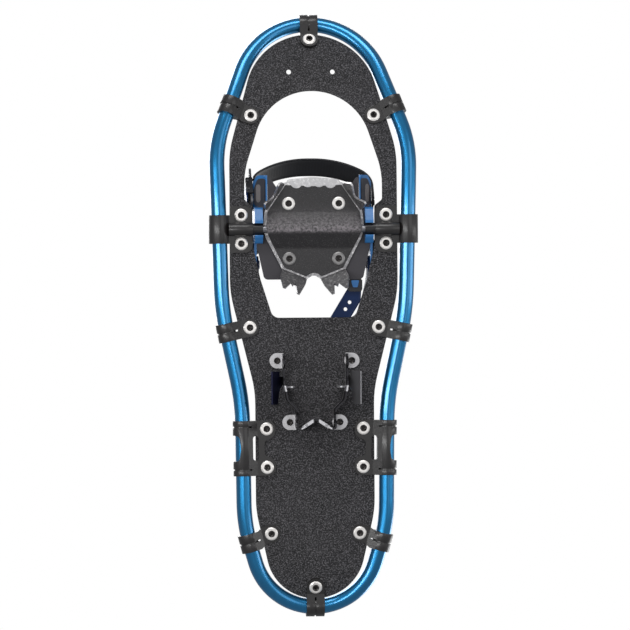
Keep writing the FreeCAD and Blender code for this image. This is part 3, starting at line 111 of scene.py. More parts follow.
class Value:
    """A shader socket. Sums, differences and products of it, with numbers or others, add Math nodes."""

    def __init__(self, tree, socket):
        self.tree = tree
        self.socket = socket

    def math(self, operation, *others):
        made = self.tree.nodes.new("ShaderNodeMath")
        made.operation = operation
        for slot, given in zip(made.inputs, others):
            if isinstance(given, Value):
                self.tree.links.new(given.socket, slot)
            else:
                slot.default_value = given
        return Value(self.tree, made.outputs[0])

    def __add__(self, other):
        return self.math("ADD", self, other)

    def __radd__(self, other):
        return self.math("ADD", other, self)

    def __sub__(self, other):
        return self.math("SUBTRACT", self, other)

    def __rsub__(self, other):
        return self.math("SUBTRACT", other, self)

    def __mul__(self, other):
        return self.math("MULTIPLY", self, other)

    def __rmul__(self, other):
        return self.math("MULTIPLY", other, self)

    def wave(self):
        """Sine, of an angle in radians."""
        return self.math("SINE", self)

    def size(self):
        """Distance from zero."""
        return self.math("ABSOLUTE", self)

    def ramp(self, low, high):
        """0 below low, 1 above high, straight between."""
        made = self.tree.nodes.new("ShaderNodeMapRange")
        self.tree.links.new(self.socket, made.inputs["Value"])
        made.inputs["From Min"].default_value = low
        made.inputs["From Max"].default_value = high
        return Value(self.tree, made.outputs[0])


class Finish:
    """A material with one Principled shader, built up node by node."""

    def __init__(self, name, **settings):
        self.material = bpy.data.materials.new(name)
        self.material.use_nodes = True
        self.tree = self.material.node_tree
        self.shader = self.tree.nodes["Principled BSDF"]
        for key, given in settings.items():
            self.shader.inputs[key.replace("_", " ")].default_value = given

    def node(self, kind, settings=None, out=0, **values):
        """Adds a node: its settings first, then the values or links of its sockets."""
        made = self.tree.nodes.new("ShaderNode" + kind)
        for key, given in (settings or {}).items():
            setattr(made, key, given)
        for key, given in values.items():
            slot = made.inputs[int(key[1:])] if key[0] == "_" else made.inputs[key.replace("_", " ")]
            if isinstance(given, Value):
                self.tree.links.new(given.socket, slot)
            else:
                slot.default_value = given
        return Value(self.tree, made.outputs[out])

    def place(self, stretch=(1, 1, 1), turn=(0, 0, 0)):
        """Object position, turned and stretched."""
        return self.node("Mapping", Vector=self.node("TexCoord", out=3), Scale=stretch, Rotation=turn)

    def noise(self, scale, detail=2.0, rough=0.5, at=None):
        """Soft random pattern, with scale in waves a metre."""
        return self.node("TexNoise", Vector=at or self.place(), Scale=scale, Detail=detail, Roughness=rough)

    def cells(self, scale):
        """Distance to the edges of random cells."""
        return self.node("TexVoronoi", {"feature": "DISTANCE_TO_EDGE"}, Vector=self.place(), Scale=scale)

    def lie(self, axis):
        """Metres along (0) or across (1) a strap, as its mesh carries them."""
        point = self.node("Attribute", {"attribute_name": "lie"}, out=1)
        return self.node("SeparateXYZ", out=axis, Vector=point)

    def axis(self, number):
        """Metres across (0), along (1) or above (2) in the frame."""
        return self.node("SeparateXYZ", out=number, Vector=self.node("TexCoord", out=3))

    def blend(self, amount, a, b):
        """Colour between a and b."""
        return self.node("Mix", {"data_type": "RGBA"}, out=2, _0=amount, _6=a, _7=b)

    def feed(self, **sockets):
        """Links values to the shader's sockets."""
        for key, given in sockets.items():
            self.tree.links.new(given.socket, self.shader.inputs[key.replace("_", " ")])
        return self

    def bump(self, height, strength, distance):
        """Relief of the surface, with its depth in metres."""
        return self.feed(Normal=self.node("Bump", Strength=strength, Distance=distance, Height=height))


def rgb(red, green, blue):
    """Shader colour of a display colour given in 0-255."""
    linear = [((c / 255 + 0.055) / 1.055) ** 2.4 if c > 10 else c / 3294.6 for c in (red, green, blue)]
    return (*linear, 1.0)


def dress(finish, *names):
    """Gives CAD nodes a finish."""
    for name in names:
        for holder in nodes[name].material_slots:
            holder.material = finish.material


FLOOR_HALF = 6
floor_mesh = bpy.data.meshes.new("floor")
corners = [(FLOOR_HALF * x, FLOOR_HALF * y, 0) for x, y in ((-1, -1), (1, -1), (1, 1), (-1, 1))]
floor_mesh.from_pydata(corners, [], [(0, 1, 2, 3)])
floor = bpy.data.objects.new("floor", floor_mesh)
bpy.context.collection.objects.link(floor)
floor.visible_shadow = False
floor.visible_diffuse = False
floor.visible_glossy = False
pale = Finish("floor_sheet", Roughness=0.85)
pale.feed(Base_Color=pale.blend(pale.noise(3.0), rgb(226, 227, 229), rgb(232, 232, 233)))
clear = pale.node("BsdfTransparent")
from_below = pale.node("NewGeometry", out="Backfacing")
sheet = pale.node("MixShader", _0=from_below, _1=Value(pale.tree, pale.shader.outputs[0]), _2=clear)
pale.tree.links.new(sheet.socket, pale.tree.nodes["Material Output"].inputs["Surface"])
floor_mesh.materials.append(pale.material)

# ---------------------------------------------------------------- frame tubes
# Two bent aluminium tubes, bright-dipped and anodised blue under a clear seal, pushed together over
# plain inner sleeves under the long clips.
anodised = Finish("anodised_blue", Metallic=0.9, Coat_Weight=0.8, Coat_Roughness=0.14)
drawn = anodised.noise(90.0, 3.0, at=anodised.place((3, 0.3, 3)))
scuff = anodised.noise(420.0, 4.0, 0.7).ramp(0.62, 0.75)
anodised.feed(Base_Color=anodised.blend(drawn, rgb(18, 112, 162), rgb(30, 130, 184)),
              Roughness=0.30 + 0.10 * scuff)
dress(anodised, "front_frame_tube", "rear_frame_tube")
plain_metal = Finish("plain_aluminium", Metallic=1.0)
grain = plain_metal.noise(600.0, at=plain_metal.place((1, 8, 1)))
plain_metal.feed(Base_Color=plain_metal.blend(grain, rgb(170, 170, 174), rgb(205, 205, 208)),
                 Roughness=0.25 + 0.15 * grain)
dress(plain_metal, "frame_joint_sleeves")

# ---------------------------------------------------------------- deck
# A sheet of black polyethylene with a pebbled face, whose high spots catch the light as fine specks; the
# specks are pale flecks painted into its colour, painted highlights.
# It is held to the frame by the clips alone.
sheet_black = Finish("deck_sheet", Specular_IOR_Level=0.35)
pebble = sheet_black.cells(620.0)
fine = sheet_black.noise(1500.0, 3.0, 0.65)
# Pale flecks painted into the colour: painted highlights of the pebbled high spots, also raised a little by
# the bump.
deck_speck_painted_highlight = sheet_black.noise(720.0, 3.0, 0.7).ramp(0.47, 0.64)
cloud = sheet_black.noise(28.0, 4.0)
base = sheet_black.blend(cloud.ramp(0.3, 0.7), rgb(16, 16, 17), rgb(34, 33, 35))
sheet_black.feed(Base_Color=sheet_black.blend(deck_speck_painted_highlight, base, rgb(112, 110, 113)),
                 Roughness=0.48 + 0.25 * fine)
sheet_black.bump(fine * 0.8 + deck_speck_painted_highlight * 0.8 + pebble * 0.4, 0.8, 0.0008)
dress(sheet_black, "deck")

# ---------------------------------------------------------------- clips and clamps
# Injection-moulded black nylon, slightly glossy, with small radii on every edge. Each is wrapped
# round the tube and riveted through the deck.
MM = 0.001


def soften(width, *names):
    """Rounds the hard edges of CAD nodes, whose loose triangles are welded first."""
    for name in names:
        weld = nodes[name].modifiers.new("weld", "WELD")
        weld.merge_threshold = 0.02 * MM
        bevel = nodes[name].modifiers.new("round", "BEVEL")
        bevel.width = width
        bevel.segments = 2
        bevel.limit_method = "ANGLE"
        bevel.angle_limit = math.radians(40)


nylon = Finish("clip_nylon", Specular_IOR_Level=0.5, Coat_Weight=0.5, Coat_Roughness=0.22)
mould = nylon.noise(240.0, 4.0, 0.6)
fine = nylon.noise(1600.0, 2.0)
nylon.feed(Base_Color=nylon.blend(mould, rgb(15, 13, 13), rgb(30, 26, 26)),
           Roughness=0.36 + 0.16 * mould + 0.06 * fine)
nylon.bump(fine + mould, 0.2, 0.0003)
clips = [name for name in nodes if "_clip" in name and name != "keeper_clip"]
clips += ["axle_clamp_right", "axle_clamp_left"]
dress(nylon, *clips)
soften(0.6 * MM, *clips)

# ---------------------------------------------------------------- rivets and washers
# Tubular steel rivets, blackened, pulled up against domed washers of bright zinc-plated steel. The
# crampon's rear pair of washers is coloured darker than its front pair.
axle = next(Vector(joint["pos_m"]) for joint in frame["record"]["behaviour"]["joints"]
            if joint["name"] == "binding_pivot")
black_metal = Finish("rivet_black", Metallic=0.7)
worn = black_metal.noise(700.0, 2.0)
black_metal.feed(Base_Color=black_metal.blend(worn, rgb(38, 36, 36), rgb(84, 80, 78)),
                 Roughness=0.14 + 0.16 * worn)
dress(black_metal, *[name for name in nodes if "rivets" in name])
zinc = Finish("washer_zinc", Metallic=0.55)
shine = zinc.noise(900.0, 3.0)
zinc.feed(Base_Color=zinc.blend(shine, rgb(236, 231, 226), rgb(252, 249, 246)),
          Roughness=0.30 + 0.2 * shine)
dress(zinc, "clip_washers", "axle_clamp_washers", "wing_screws")
two_tone_zinc = Finish("crampon_washer_zinc", Metallic=0.6)
shine = two_tone_zinc.noise(900.0, 3.0)
# The washers behind the axle get a darker colour than those in front of it.
rear_pair = two_tone_zinc.axis(1).ramp(axle.y + 1 * MM, axle.y - 1 * MM)
bright = two_tone_zinc.blend(shine, rgb(232, 229, 225), rgb(250, 247, 244))
rear_tone = two_tone_zinc.blend(shine, rgb(120, 119, 119), rgb(158, 156, 155))
two_tone_zinc.feed(Base_Color=two_tone_zinc.blend(rear_pair, bright, rear_tone), Roughness=0.30 + 0.2 * shine)
dress(two_tone_zinc, "crampon_washers")

# ---------------------------------------------------------------- axle
# A turned steel rod in black nylon bushes, clamped to the frame at both ends. Black collars on it
# keep the binding in the middle.
steel = Finish("axle_steel", Metallic=1.0)
turned = steel.noise(900.0, 2.0, at=steel.place((4, 1, 1)))
steel.feed(Base_Color=steel.blend(turned, rgb(120, 120, 124), rgb(168, 168, 172)),
           Roughness=0.22 + 0.2 * turned)
dress(steel, "pivot_axle", "heel_strap_pivots", "toe_buckle_pins", "instep_buckle_pins")
collar = Finish("collar_nylon")
soft = collar.noise(300.0)
collar.feed(Base_Color=collar.blend(soft, rgb(18, 18, 20), rgb(34, 33, 35)), Roughness=0.35 + 0.1 * soft)
dress(collar, "axle_bushes", "axle_spacers")

# ---------------------------------------------------------------- crampons
# Pressed steel plate, hardened and bead-blasted, with bright worn specks and a painted highlight along the
# toe crampon's front fold, under a black cover plate that is bent into a ridge round the axle.
claw_steel = Finish("crampon_steel", Metallic=0.9)
scale = claw_steel.noise(150.0, 4.0, 0.6)
fine = claw_steel.noise(1300.0, 3.0)
worn = claw_steel.noise(330.0, 3.0, 0.7).ramp(0.50, 0.68)
body_tone = claw_steel.blend(scale, rgb(124, 123, 125), rgb(176, 174, 176))
# Painted highlight: the front lip, past the front fold, is painted a lighter grey.
front_lip_painted_highlight = claw_steel.axis(1).ramp(axle.y + 40 * MM, axle.y + 46 * MM)
body_tone = claw_steel.blend(front_lip_painted_highlight, body_tone, rgb(200, 199, 200))
claw_steel.feed(Base_Color=claw_steel.blend(worn * 0.8, body_tone, rgb(240, 238, 238)),
                Roughness=0.26 + 0.2 * fine)
claw_steel.bump(fine + scale, 0.25, 0.0004)
dress(claw_steel, "toe_crampon")
TAB_LEVEL = 22 * MM
WALL_SIDE = 34.5 * MM
tab_steel = Finish("heel_crampon_steel", Metallic=0.8)
scale = tab_steel.noise(150.0, 4.0, 0.6)
fine = tab_steel.noise(1300.0, 3.0)
light_face = tab_steel.blend(scale, rgb(184, 183, 185), rgb(210, 208, 210))
side_way = tab_steel.axis(0)
along = tab_steel.axis(1)
level = tab_steel.axis(2)
off_middle = side_way.size()
# Painted highlights: bright bars on the rear teeth, and a bright band across the pins.
bars_painted_highlight = off_middle.ramp(16.5 * MM, 15.8 * MM) * off_middle.ramp(2.4 * MM, 3.2 * MM)
bars_painted_highlight = bars_painted_highlight * along.ramp(-108.5 * MM, -110 * MM) * level.ramp(10 * MM, 9.2 * MM)
pins = (along + 77.5 * MM).size().ramp(3.4 * MM, 2.8 * MM)
pins = pins * off_middle.ramp(WALL_SIDE, WALL_SIDE - 0.5 * MM)
# Below the tabs the walls are painted dark as shade, the flag on the +X side navy as shade, and the flag on
# the -X side a lighter, lit grey; the tabs keep the steel's own pale tone.
painted_shade_and_highlights = tab_steel.blend(side_way.ramp(WALL_SIDE, WALL_SIDE + 1.5 * MM), rgb(52, 51, 54), rgb(26, 28, 52))
painted_shade_and_highlights = tab_steel.blend(side_way.ramp(-WALL_SIDE, -WALL_SIDE - 1.5 * MM), painted_shade_and_highlights, rgb(128, 127, 130))
painted_shade_and_highlights = tab_steel.blend(bars_painted_highlight + pins, painted_shade_and_highlights, rgb(206, 205, 208))
tabs = level.ramp(TAB_LEVEL - 0.5 * MM, TAB_LEVEL + 0.5 * MM)
tab_steel.feed(Base_Color=tab_steel.blend(tabs, painted_shade_and_highlights, light_face),
               Roughness=0.34 + 0.2 * fine)
tab_steel.bump(fine, 0.2, 0.0003)
dress(tab_steel, "heel_crampon")
soften(0.4 * MM, "toe_crampon", "heel_crampon")
cover = Finish("cover_plate", Specular_IOR_Level=0.5)
grip = cover.noise(1100.0, 3.0, 0.6)
cloud = cover.noise(60.0, 4.0)
speck = cover.noise(900.0, 2.0, 0.6).ramp(0.58, 0.72)
tone = cover.blend(cloud, rgb(28, 27, 28), rgb(42, 40, 42))
along = cover.axis(1)
# Painted highlight: a pale band on the slope just in front of the ridge, fading toward the toe and cut off
# behind the ridge, broken into a mottle like rubbed wear.
ridge_painted_highlight = along.ramp(axle.y + 30 * MM, axle.y - 1 * MM) * along.ramp(axle.y - 6 * MM, axle.y - 2 * MM)
mottle = cover.noise(420.0, 4.0, 0.7).ramp(0.36, 0.66)
tone = cover.blend(ridge_painted_highlight * ridge_painted_highlight * mottle, tone, rgb(134, 128, 132))
cover.feed(Base_Color=cover.blend(speck * 0.4, tone, rgb(104, 101, 103)), Roughness=0.30 + 0.2 * grip)
cover.bump(grip + speck, 0.45, 0.0005)
dress(cover, "anti_snow_plate")

# ---------------------------------------------------------------- footbed, heel pad and wings
# A charcoal plastic footbed and heel pad, screwed to blue moulded wings with soft black toe pads.
bed = Finish("footbed_plastic", Specular_IOR_Level=0.35)
matt = bed.noise(700.0, 3.0)
cloud = bed.noise(40.0, 3.0)
bed.feed(Base_Color=bed.blend(cloud, rgb(52, 50, 54), rgb(66, 64, 68)), Roughness=0.5 + 0.2 * matt)
bed.bump(matt, 0.3, 0.0004)
dress(bed, "footbed", "heel_pad")
blue = Finish("blue_plastic", Coat_Weight=0.3, Coat_Roughness=0.2)
tone = blue.noise(120.0, 3.0)
fine = blue.noise(900.0, 2.0)
blue.feed(Base_Color=blue.blend(tone, rgb(22, 88, 152), rgb(50, 124, 186)), Roughness=0.30 + 0.15 * fine)
blue.bump(fine, 0.15, 0.0003)
dress(blue, "binding_wing_right", "binding_wing_left", "keeper_clip")
soften(0.4 * MM, "binding_wing_right", "binding_wing_left")
soften(0.6 * MM, "keeper_clip")
rubber = Finish("pad_rubber", Specular_IOR_Level=0.4)
skin = rubber.noise(700.0, 3.0)
cloud = rubber.noise(70.0, 3.0)
rubber.feed(Base_Color=rubber.blend(cloud, rgb(42, 42, 48), rgb(64, 64, 70)), Roughness=0.45 + 0.2 * skin)
rubber.bump(skin, 0.3, 0.0004)
dress(rubber, "toe_pad_right", "toe_pad_left")
soften(0.8 * MM, "toe_pad_right", "toe_pad_left", "heel_pad")
oval = Finish("insert_rubber")
skin = oval.noise(700.0, 3.0)
oval.feed(Base_Color=oval.blend(skin, rgb(100, 96, 96), rgb(124, 118, 118)), Roughness=0.5 + 0.2 * skin)
oval.bump(skin, 0.3, 0.0004)
dress(oval, "toe_pad_inserts")

# ---------------------------------------------------------------- toe and instep straps
# Two moulded elastomer bands over the boot. Each is riveted at one side to a straight toothed strap
# that runs through a ratchet buckle, and screwed at the other side to the wing.
STRAP_OUT = 65.3 * MM
STRAP_THICK = 2.4 * MM
BROW_SLOPE = math.radians(35)
SECTION_POINTS = 40
SECTION_SQUARE = 0.22
RIB_PITCH = 3.2 * MM


def rounded_line(corners, step=1.5 * MM):
    """Points of a plan line: straight runs, with a tangent arc of the given radius at each corner."""
    ends = [np.array(corner[:2]) for corner in corners]
    pieces = [ends[0][None]]
    for before, corner, after in zip(ends, corners[1:-1], ends[2:]):
        at = np.array(corner[:2])
        a = (before - at) / np.linalg.norm(before - at)
        b = (after - at) / np.linalg.norm(after - at)
        half_turn = (math.pi - math.acos(float(np.clip(a @ b, -1, 1)))) / 2
        tangent = corner[2] * math.tan(half_turn)
        middle = (a + b) / np.linalg.norm(a + b)
        centre = at + middle * corner[2] / math.cos(half_turn)
        first = at + a * tangent - centre
        turn = np.sign(a[0] * b[1] - a[1] * b[0]) * -2 * half_turn
        swing = np.linspace(0, turn, max(4, int(corner[2] * 2 * half_turn / step)))
        pieces.append(centre + np.stack([first[0] * np.cos(swing) - first[1] * np.sin(swing),
                                         first[0] * np.sin(swing) + first[1] * np.cos(swing)], axis=1))
    pieces.append(ends[-1][None])
    joined = np.concatenate(pieces)
    lengths = np.concatenate([[0], np.cumsum(np.linalg.norm(np.diff(joined, axis=0), axis=1))])
    even = np.linspace(0, lengths[-1], int(lengths[-1] / step))
    return np.stack([np.interp(even, lengths, joined[:, k]) for k in (0, 1)], axis=1)


def band(name, body, finish, line, section, lift):
    """Band carried along a plan line, with its width upright.

    Each point is the line's point, plus the section's second value times the outward normal of the
    line, plus its first value times the upright; lift turns local (x, y, z) rows into the frame.
    """
    tangent = np.gradient(line, axis=0)
    tangent /= np.linalg.norm(tangent, axis=1)[:, None]
    normal = np.stack([tangent[:, 1], -tangent[:, 0]], axis=1)
    plan = line[:, None] + section[..., 1:2] * normal[:, None]
    height = np.broadcast_to(section[..., 0:1], plan.shape[:2] + (1,))
    points = lift(np.concatenate([plan, height], axis=2).reshape(-1, 3))
    rows, around = plan.shape[:2]
    index = np.arange(rows * around).reshape(rows, around)
    quads = np.stack([index[:-1], index[1:], np.roll(index, -1, 1)[1:], np.roll(index, -1, 1)[:-1]], axis=2)
    faces = quads.reshape(-1, 4).tolist() + [index[0].tolist(), index[-1].tolist()]
    mesh = bpy.data.meshes.new(name)
    mesh.from_pydata(points.tolist(), [], faces)
    along = np.concatenate([[0], np.cumsum(np.linalg.norm(np.diff(line, axis=0), axis=1))])
    lie = np.stack([np.repeat(along, around), height.reshape(-1), np.zeros(rows * around)], axis=1)
    mesh.attributes.new("lie", "FLOAT_VECTOR", "POINT").data.foreach_set("vector", lie.reshape(-1))
    edit = bmesh.new()
    edit.from_mesh(mesh)
    bmesh.ops.recalc_face_normals(edit, faces=edit.faces)
    edit.to_mesh(mesh)
    edit.free()
    mesh.shade_smooth()
    mesh.set_sharp_from_angle(angle=math.radians(50))
    mesh.materials.append(finish.material)
    piece = bpy.data.objects.new(name, mesh)
    bpy.context.collection.objects.link(piece)
    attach(piece, body)
    return piece


def strap_section(half, thick, rim):
    """Rounded oblong: width and thickness are powers of the cosine and sine, with a raised rim."""
    angle = np.linspace(0, 2 * math.pi, SECTION_POINTS, endpoint=False) + math.pi / SECTION_POINTS
    wide = np.sign(np.cos(angle)) * np.abs(np.cos(angle)) ** SECTION_SQUARE
    deep = np.sign(np.sin(angle)) * np.abs(np.sin(angle)) ** SECTION_SQUARE
    sunk = 1 - rim * np.clip((0.86 - np.abs(wide)) / 0.08, 0, 1)
    return np.stack([half * wide, thick / 2 * deep * sunk], axis=1)[None]


def round_ends(section, line, radius):
    """Narrows a section towards both ends of its line, so that the ends are half circles."""
    along = np.concatenate([[0], np.cumsum(np.linalg.norm(np.diff(line, axis=0), axis=1))])
    near = np.clip(np.minimum(along, along[-1] - along) / radius, 0.02, 1)
    narrow = np.sqrt(1 - (1 - near) ** 2)[:, None, None]
    return section * np.concatenate([narrow, np.ones_like(narrow)], axis=2)


def tilted(origin, tilt):
    """Local axes of a strap: X across the shoe, Y up along it, Z square to it."""
    across = np.array([1.0, 0, 0])
    upright = np.array([0, math.cos(tilt), math.sin(tilt)])
    square = np.array([0, -math.sin(tilt), math.cos(tilt)])
    turn = np.stack([across, upright, square])
    return lambda points: np.array(origin) + points @ turn


def strap_line(inset, front, brow, brow_r, side_r, start, stop):
    """Middle line of a strap: up one side, over the brow and down the other, inset from its outside."""
    outside = STRAP_OUT - inset
    narrow = brow - inset * math.tan(BROW_SLOPE / 2)
    top = front - inset
    side_y = top - (outside - narrow) * math.tan(BROW_SLOPE)
    right = [(outside, side_y, side_r - inset), (narrow, top, brow_r - inset)]
    left = [(-x, y, r) for x, y, r in reversed(right)]
    line = rounded_line([(outside, start, 0)] + right + left + [(-outside, stop, 0)])
    return line


moulded = Finish("strap_elastomer", Specular_IOR_Level=0.4)
fine = moulded.noise(900.0, 3.0)
cloud = moulded.noise(50.0, 3.0)
rib = (moulded.lie(0) * (2 * math.pi / RIB_PITCH)).wave().ramp(-0.6, 0.6)
field = 1 - moulded.lie(1).size().ramp(6.2 * MM, 6.8 * MM)
moulded.feed(Base_Color=moulded.blend(cloud, rgb(17, 17, 21), rgb(30, 30, 34)),
             Roughness=0.40 + 0.15 * fine + 0.08 * rib * field)
moulded.bump(fine * 0.3 + rib * field, 0.10, 0.0003)

TOE = {"origin": (0, axle.y + 26 * MM, 42 * MM), "tilt": math.radians(42)}
INSTEP = {"origin": (0, axle.y - 22 * MM, 40 * MM), "tilt": math.radians(76)}
TOE_SHAPE = [v * MM for v in (55.5, 30.0, 86.0, 28.0)]
INSTEP_SHAPE = [v * MM for v in (74.0, 36.0, 60.0, 28.0)]
LAP = 12.6 * MM


def bend_start(front, brow, brow_r, side_r):
    """How far up its side a strap runs straight, before the side's arc begins."""
    side_y = front - (STRAP_OUT - brow) * math.tan(BROW_SLOPE)
    return side_y - side_r * math.tan(math.pi / 4 - BROW_SLOPE / 2)


for name, spot, shape, half, tail in (("toe_strap", TOE, TOE_SHAPE, 13 * MM, 2 * MM),
                                      ("instep_strap", INSTEP, INSTEP_SHAPE, 11 * MM, 5 * MM)):
    lift = tilted(**spot)
    line = strap_line(STRAP_THICK / 2, *shape, -tail, -tail)
    lap_y = bend_start(*shape) + LAP
    line = line[(line[:, 0] < 0) | (line[:, 1] > lap_y)]
    section = strap_section(half, STRAP_THICK, rim=0.28)
    piece = band(name + "_moulding", "binding", moulded, line, section, lift)
    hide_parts(name)

# ---------------------------------------------------------------- instep cushion
# A stuffed pad sewn inside the instep strap: black knit over foam, with a bound edge all round and
# sewn channels across it.
PAD_THICK = 4.0 * MM
PAD_HALF = 16.0 * MM
PAD_INSET = 5.1 * MM
PAD_END_R = 11 * MM
PAD_POINTS = 64
CHANNELS = 9
COURSE = 1.1 * MM
WALE = 0.9 * MM


def pad_section(line):
    """Section of the pad at every point of its line.

    The width is a power of the cosine and the thickness a power of the sine of one angle. The
    inner face is crowned in the middle and pinched at each sewn channel, and the outline draws
    in between channels and rounds off at both ends.
    """
    angle = np.linspace(0, 2 * math.pi, PAD_POINTS, endpoint=False) + math.pi / PAD_POINTS
    wide = np.sign(np.cos(angle)) * np.abs(np.cos(angle)) ** 0.45
    deep = np.sign(np.sin(angle)) * np.abs(np.sin(angle)) ** 0.6
    along = np.concatenate([[0], np.cumsum(np.linalg.norm(np.diff(line, axis=0), axis=1))])
    total = along[-1]
    near = np.clip(np.minimum(along, total - along) / PAD_END_R, 0.01, 1)
    taper = np.sqrt(1 - (1 - near) ** 2)[:, None]
    phase = (along / total * CHANNELS) % 1
    from_seam = np.minimum(phase, 1 - phase) * total / CHANNELS
    pinch = np.exp(-(from_seam / (1.3 * MM)) ** 2)[:, None]
    bulge = (1 - 0.45 * pinch * (1 - np.abs(wide) ** 6)) * np.sqrt(taper)
    seam = 1 - 0.5 * np.exp(-((np.abs(wide) - 0.80) / 0.035) ** 2)
    width = PAD_HALF * (1 - 0.03 * np.cos(2 * math.pi * phase)[:, None]) * taper * wide * 0.985
    thick = PAD_THICK / 2 * deep * bulge * seam
    return np.stack([width, thick], axis=2)


knit = Finish("cushion_knit", Sheen_Weight=0.25, Sheen_Roughness=0.5)
course = (knit.lie(1) * (2 * math.pi / COURSE)).wave()
wale = (knit.lie(0) * (2 * math.pi / WALE)).wave()
fuzz = knit.noise(1400.0, 3.0)
cloud = knit.noise(60.0, 3.0)
knit.feed(Base_Color=knit.blend(cloud, rgb(22, 22, 25), rgb(40, 40, 44)), Roughness=0.75 + 0.15 * fuzz)
knit.bump(course * wale * 0.5 + fuzz * 0.5, 0.5, 0.0004)
lift = tilted(**INSTEP)
start = bend_start(*INSTEP_SHAPE)
line = strap_line(PAD_INSET + PAD_THICK / 2, *INSTEP_SHAPE, start, start)
cushion = band("instep_cushion_pad", "binding", knit, line, pad_section(line), lift)
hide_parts("instep_cushion")

# ---------------------------------------------------------------- buckles and toothed straps
# Black moulded ratchet buckles with navy levers on steel pins, screwed to the wings, and the grey
# toothed straps that run through them.
buckle = Finish("buckle_plastic", Specular_IOR_Level=0.45)
mould = buckle.noise(300.0, 3.0)
fine = buckle.noise(1500.0, 2.0)
buckle.feed(Base_Color=buckle.blend(mould, rgb(21, 21, 24), rgb(37, 37, 41)), Roughness=0.34 + 0.2 * mould)
buckle.bump(fine + mould, 0.2, 0.0003)
dress(buckle, "toe_buckle_base", "instep_buckle_base", "heel_strap_keeper")
soften(0.6 * MM, "toe_buckle_base", "instep_buckle_base")
ladder = Finish("ladder_plastic", Specular_IOR_Level=0.45)
mould = ladder.noise(300.0, 3.0)
ladder.feed(Base_Color=ladder.blend(mould, rgb(88, 87, 90), rgb(122, 121, 124)),
            Roughness=0.32 + 0.2 * mould)
ladder.bump(ladder.noise(1500.0), 0.2, 0.0003)
dress(ladder, "toe_ladder", "instep_ladder")
lever_blue = Finish("lever_plastic", Coat_Weight=0.25, Coat_Roughness=0.2)
tone = lever_blue.noise(160.0, 3.0)
lever_blue.feed(Base_Color=lever_blue.blend(tone, rgb(18, 48, 104), rgb(34, 78, 146)),
                Roughness=0.32 + 0.15 * tone)
lever_blue.bump(lever_blue.noise(900.0), 0.15, 0.0003)
dress(lever_blue, "toe_buckle_lever", "instep_buckle_lever", "toe_buckle_pawl", "instep_buckle_pawl")

# ---------------------------------------------------------------- heel strap
# A flat moulded rubber strap, navy, hinged on two steel pivots and holed for adjustment. Its free end
# lies on the footbed through the keeper.
navy = Finish("strap_navy", Specular_IOR_Level=0.25)
cloud = navy.noise(50.0, 3.0)
fine = navy.noise(900.0, 3.0)
navy.feed(Base_Color=navy.blend(cloud, rgb(0, 24, 62), rgb(2, 38, 84)), Roughness=0.40 + 0.2 * fine)
navy.bump(fine, 0.3, 0.0004)


def punched(piece, cutters, name):
    """The piece with round holes cut through it: each cutter is (start, end, radius)."""
    tool = bpy.data.meshes.new(name + "_punch")
    shaft = bmesh.new()
    for start, end, radius in cutters:
        start, end = Vector(start), Vector(end)
        turn = (end - start).to_track_quat("Z", "Y").to_matrix().to_4x4()
        place = Matrix.Translation((start + end) / 2) @ turn
        bmesh.ops.create_cone(shaft, cap_ends=True, segments=32, radius1=radius, radius2=radius,
                              depth=(end - start).length, matrix=place)
    shaft.to_mesh(tool)
    shaft.free()
    punch = bpy.data.objects.new(name + "_punch", tool)
    bpy.context.collection.objects.link(punch)
    cut = piece.modifiers.new("holes", "BOOLEAN")
    cut.operation = "DIFFERENCE"
    cut.solver = "EXACT"
    cut.object = punch
    bpy.context.view_layer.update()
    done = bpy.data.meshes.new_from_object(piece.evaluated_get(bpy.context.evaluated_depsgraph_get()))
    piece.modifiers.remove(cut)
    piece.data = done
    bpy.data.objects.remove(punch)
    done.shade_smooth()
    done.set_sharp_from_angle(angle=math.radians(40))


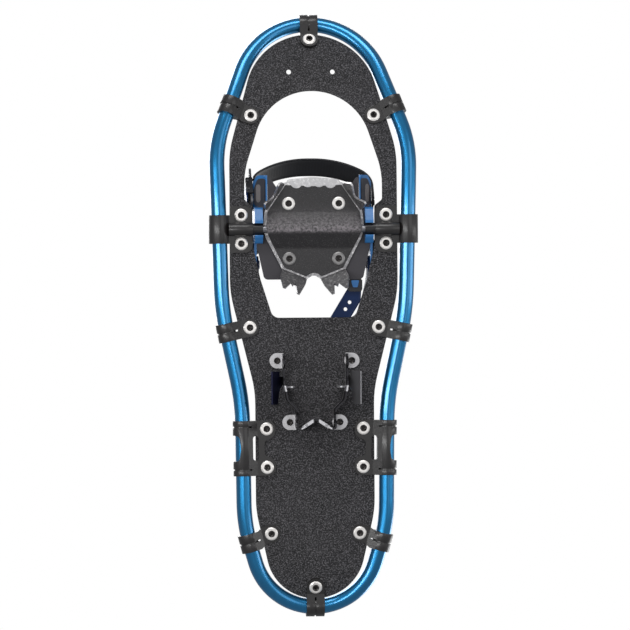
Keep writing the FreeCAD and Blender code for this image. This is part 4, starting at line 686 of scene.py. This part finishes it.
HEEL_THICK = 2.4 * MM
HEEL_HALF = 9.0 * MM
HEEL_MIDDLE = 43.0 * MM
STRAP_HOLE_R = 1.9 * MM
run = [(59.7, -28.0, 0), (59.7, -51.0, 60.0), (42.0, -128.0, 60.0), (42.0, -168.0, 34.0)]
run += [(-x, y, r) for x, y, r in reversed(run)]
outer = rounded_line([(x * MM, axle.y + y * MM, r * MM) for x, y, r in run])
flat_section = strap_section(HEEL_HALF, HEEL_THICK, rim=0.25)
shifted = round_ends(flat_section, outer, HEEL_HALF) + np.array([0.0, HEEL_THICK / 2])
loop = band("heel_strap_moulding", "heel_loop", navy, outer, shifted,
            lambda points: points + np.array([0, 0, HEEL_MIDDLE]))
hole_spots = [axle.y - (66 + 8 * i) * MM for i in range(6)]
holes = [((-80 * MM, y, HEEL_MIDDLE), (0.0, y, HEEL_MIDDLE), STRAP_HOLE_R) for y in hole_spots]
pivot_y = axle.y - 37 * MM
holes += [((x, pivot_y, HEEL_MIDDLE), (x * 1.4, pivot_y, HEEL_MIDDLE), 2.6 * MM)
          for x in (50 * MM, -50 * MM)]
punched(loop, holes, "heel_strap")
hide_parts("heel_strap")

tail_turn = math.radians(31.3)
TAIL_HALF = 9.3 * MM
TAIL_THICK = 2.0 * MM
tail_from = np.array([-54.0 * MM, axle.y - 51.0 * MM])
tail_run = np.array([math.sin(tail_turn), -math.cos(tail_turn)])
tail_side = np.array([math.cos(tail_turn), math.sin(tail_turn)])
TAIL_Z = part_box("heel_strap_tail")[0][2] + TAIL_THICK / 2
reach = np.linspace(10.5, 62.0, 40) * MM
flat = np.stack([reach, np.zeros_like(reach)], axis=1)


def on_bed(points):
    """Lays (along, thickness, across) rows flat on the footbed, along the tail's direction."""
    place = tail_from + points[:, 0:1] * tail_run - points[:, 2:3] * tail_side
    return np.concatenate([place, TAIL_Z + points[:, 1:2]], axis=1)


tail_section = strap_section(TAIL_HALF, TAIL_THICK, rim=0.25)
far = np.clip((reach[-1] - reach) / (9 * MM), 0.02, 1)
near = np.clip((reach - reach[0]) / (13 * MM), 0, 1)
half_out = np.sqrt(1 - (1 - far) ** 2)[:, None]
narrow_side = (0.27 + 0.73 * near)[:, None]
side = np.sign(tail_section[..., 0])
scaled = tail_section[..., 0] * half_out * np.where(side > 0, narrow_side, 1.0)
section = np.stack([scaled, np.broadcast_to(tail_section[..., 1], scaled.shape)], axis=2)
tail = band("heel_strap_end", "binding", navy, flat, section, on_bed)
spots = [tail_from + tail_run * s * MM for s in (30.8, 39.3)]
holes = [((x, y, TAIL_Z - 10 * MM), (x, y, TAIL_Z + 10 * MM), STRAP_HOLE_R) for x, y in spots]
punched(tail, holes, "heel_strap_end")
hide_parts("heel_strap_tail")
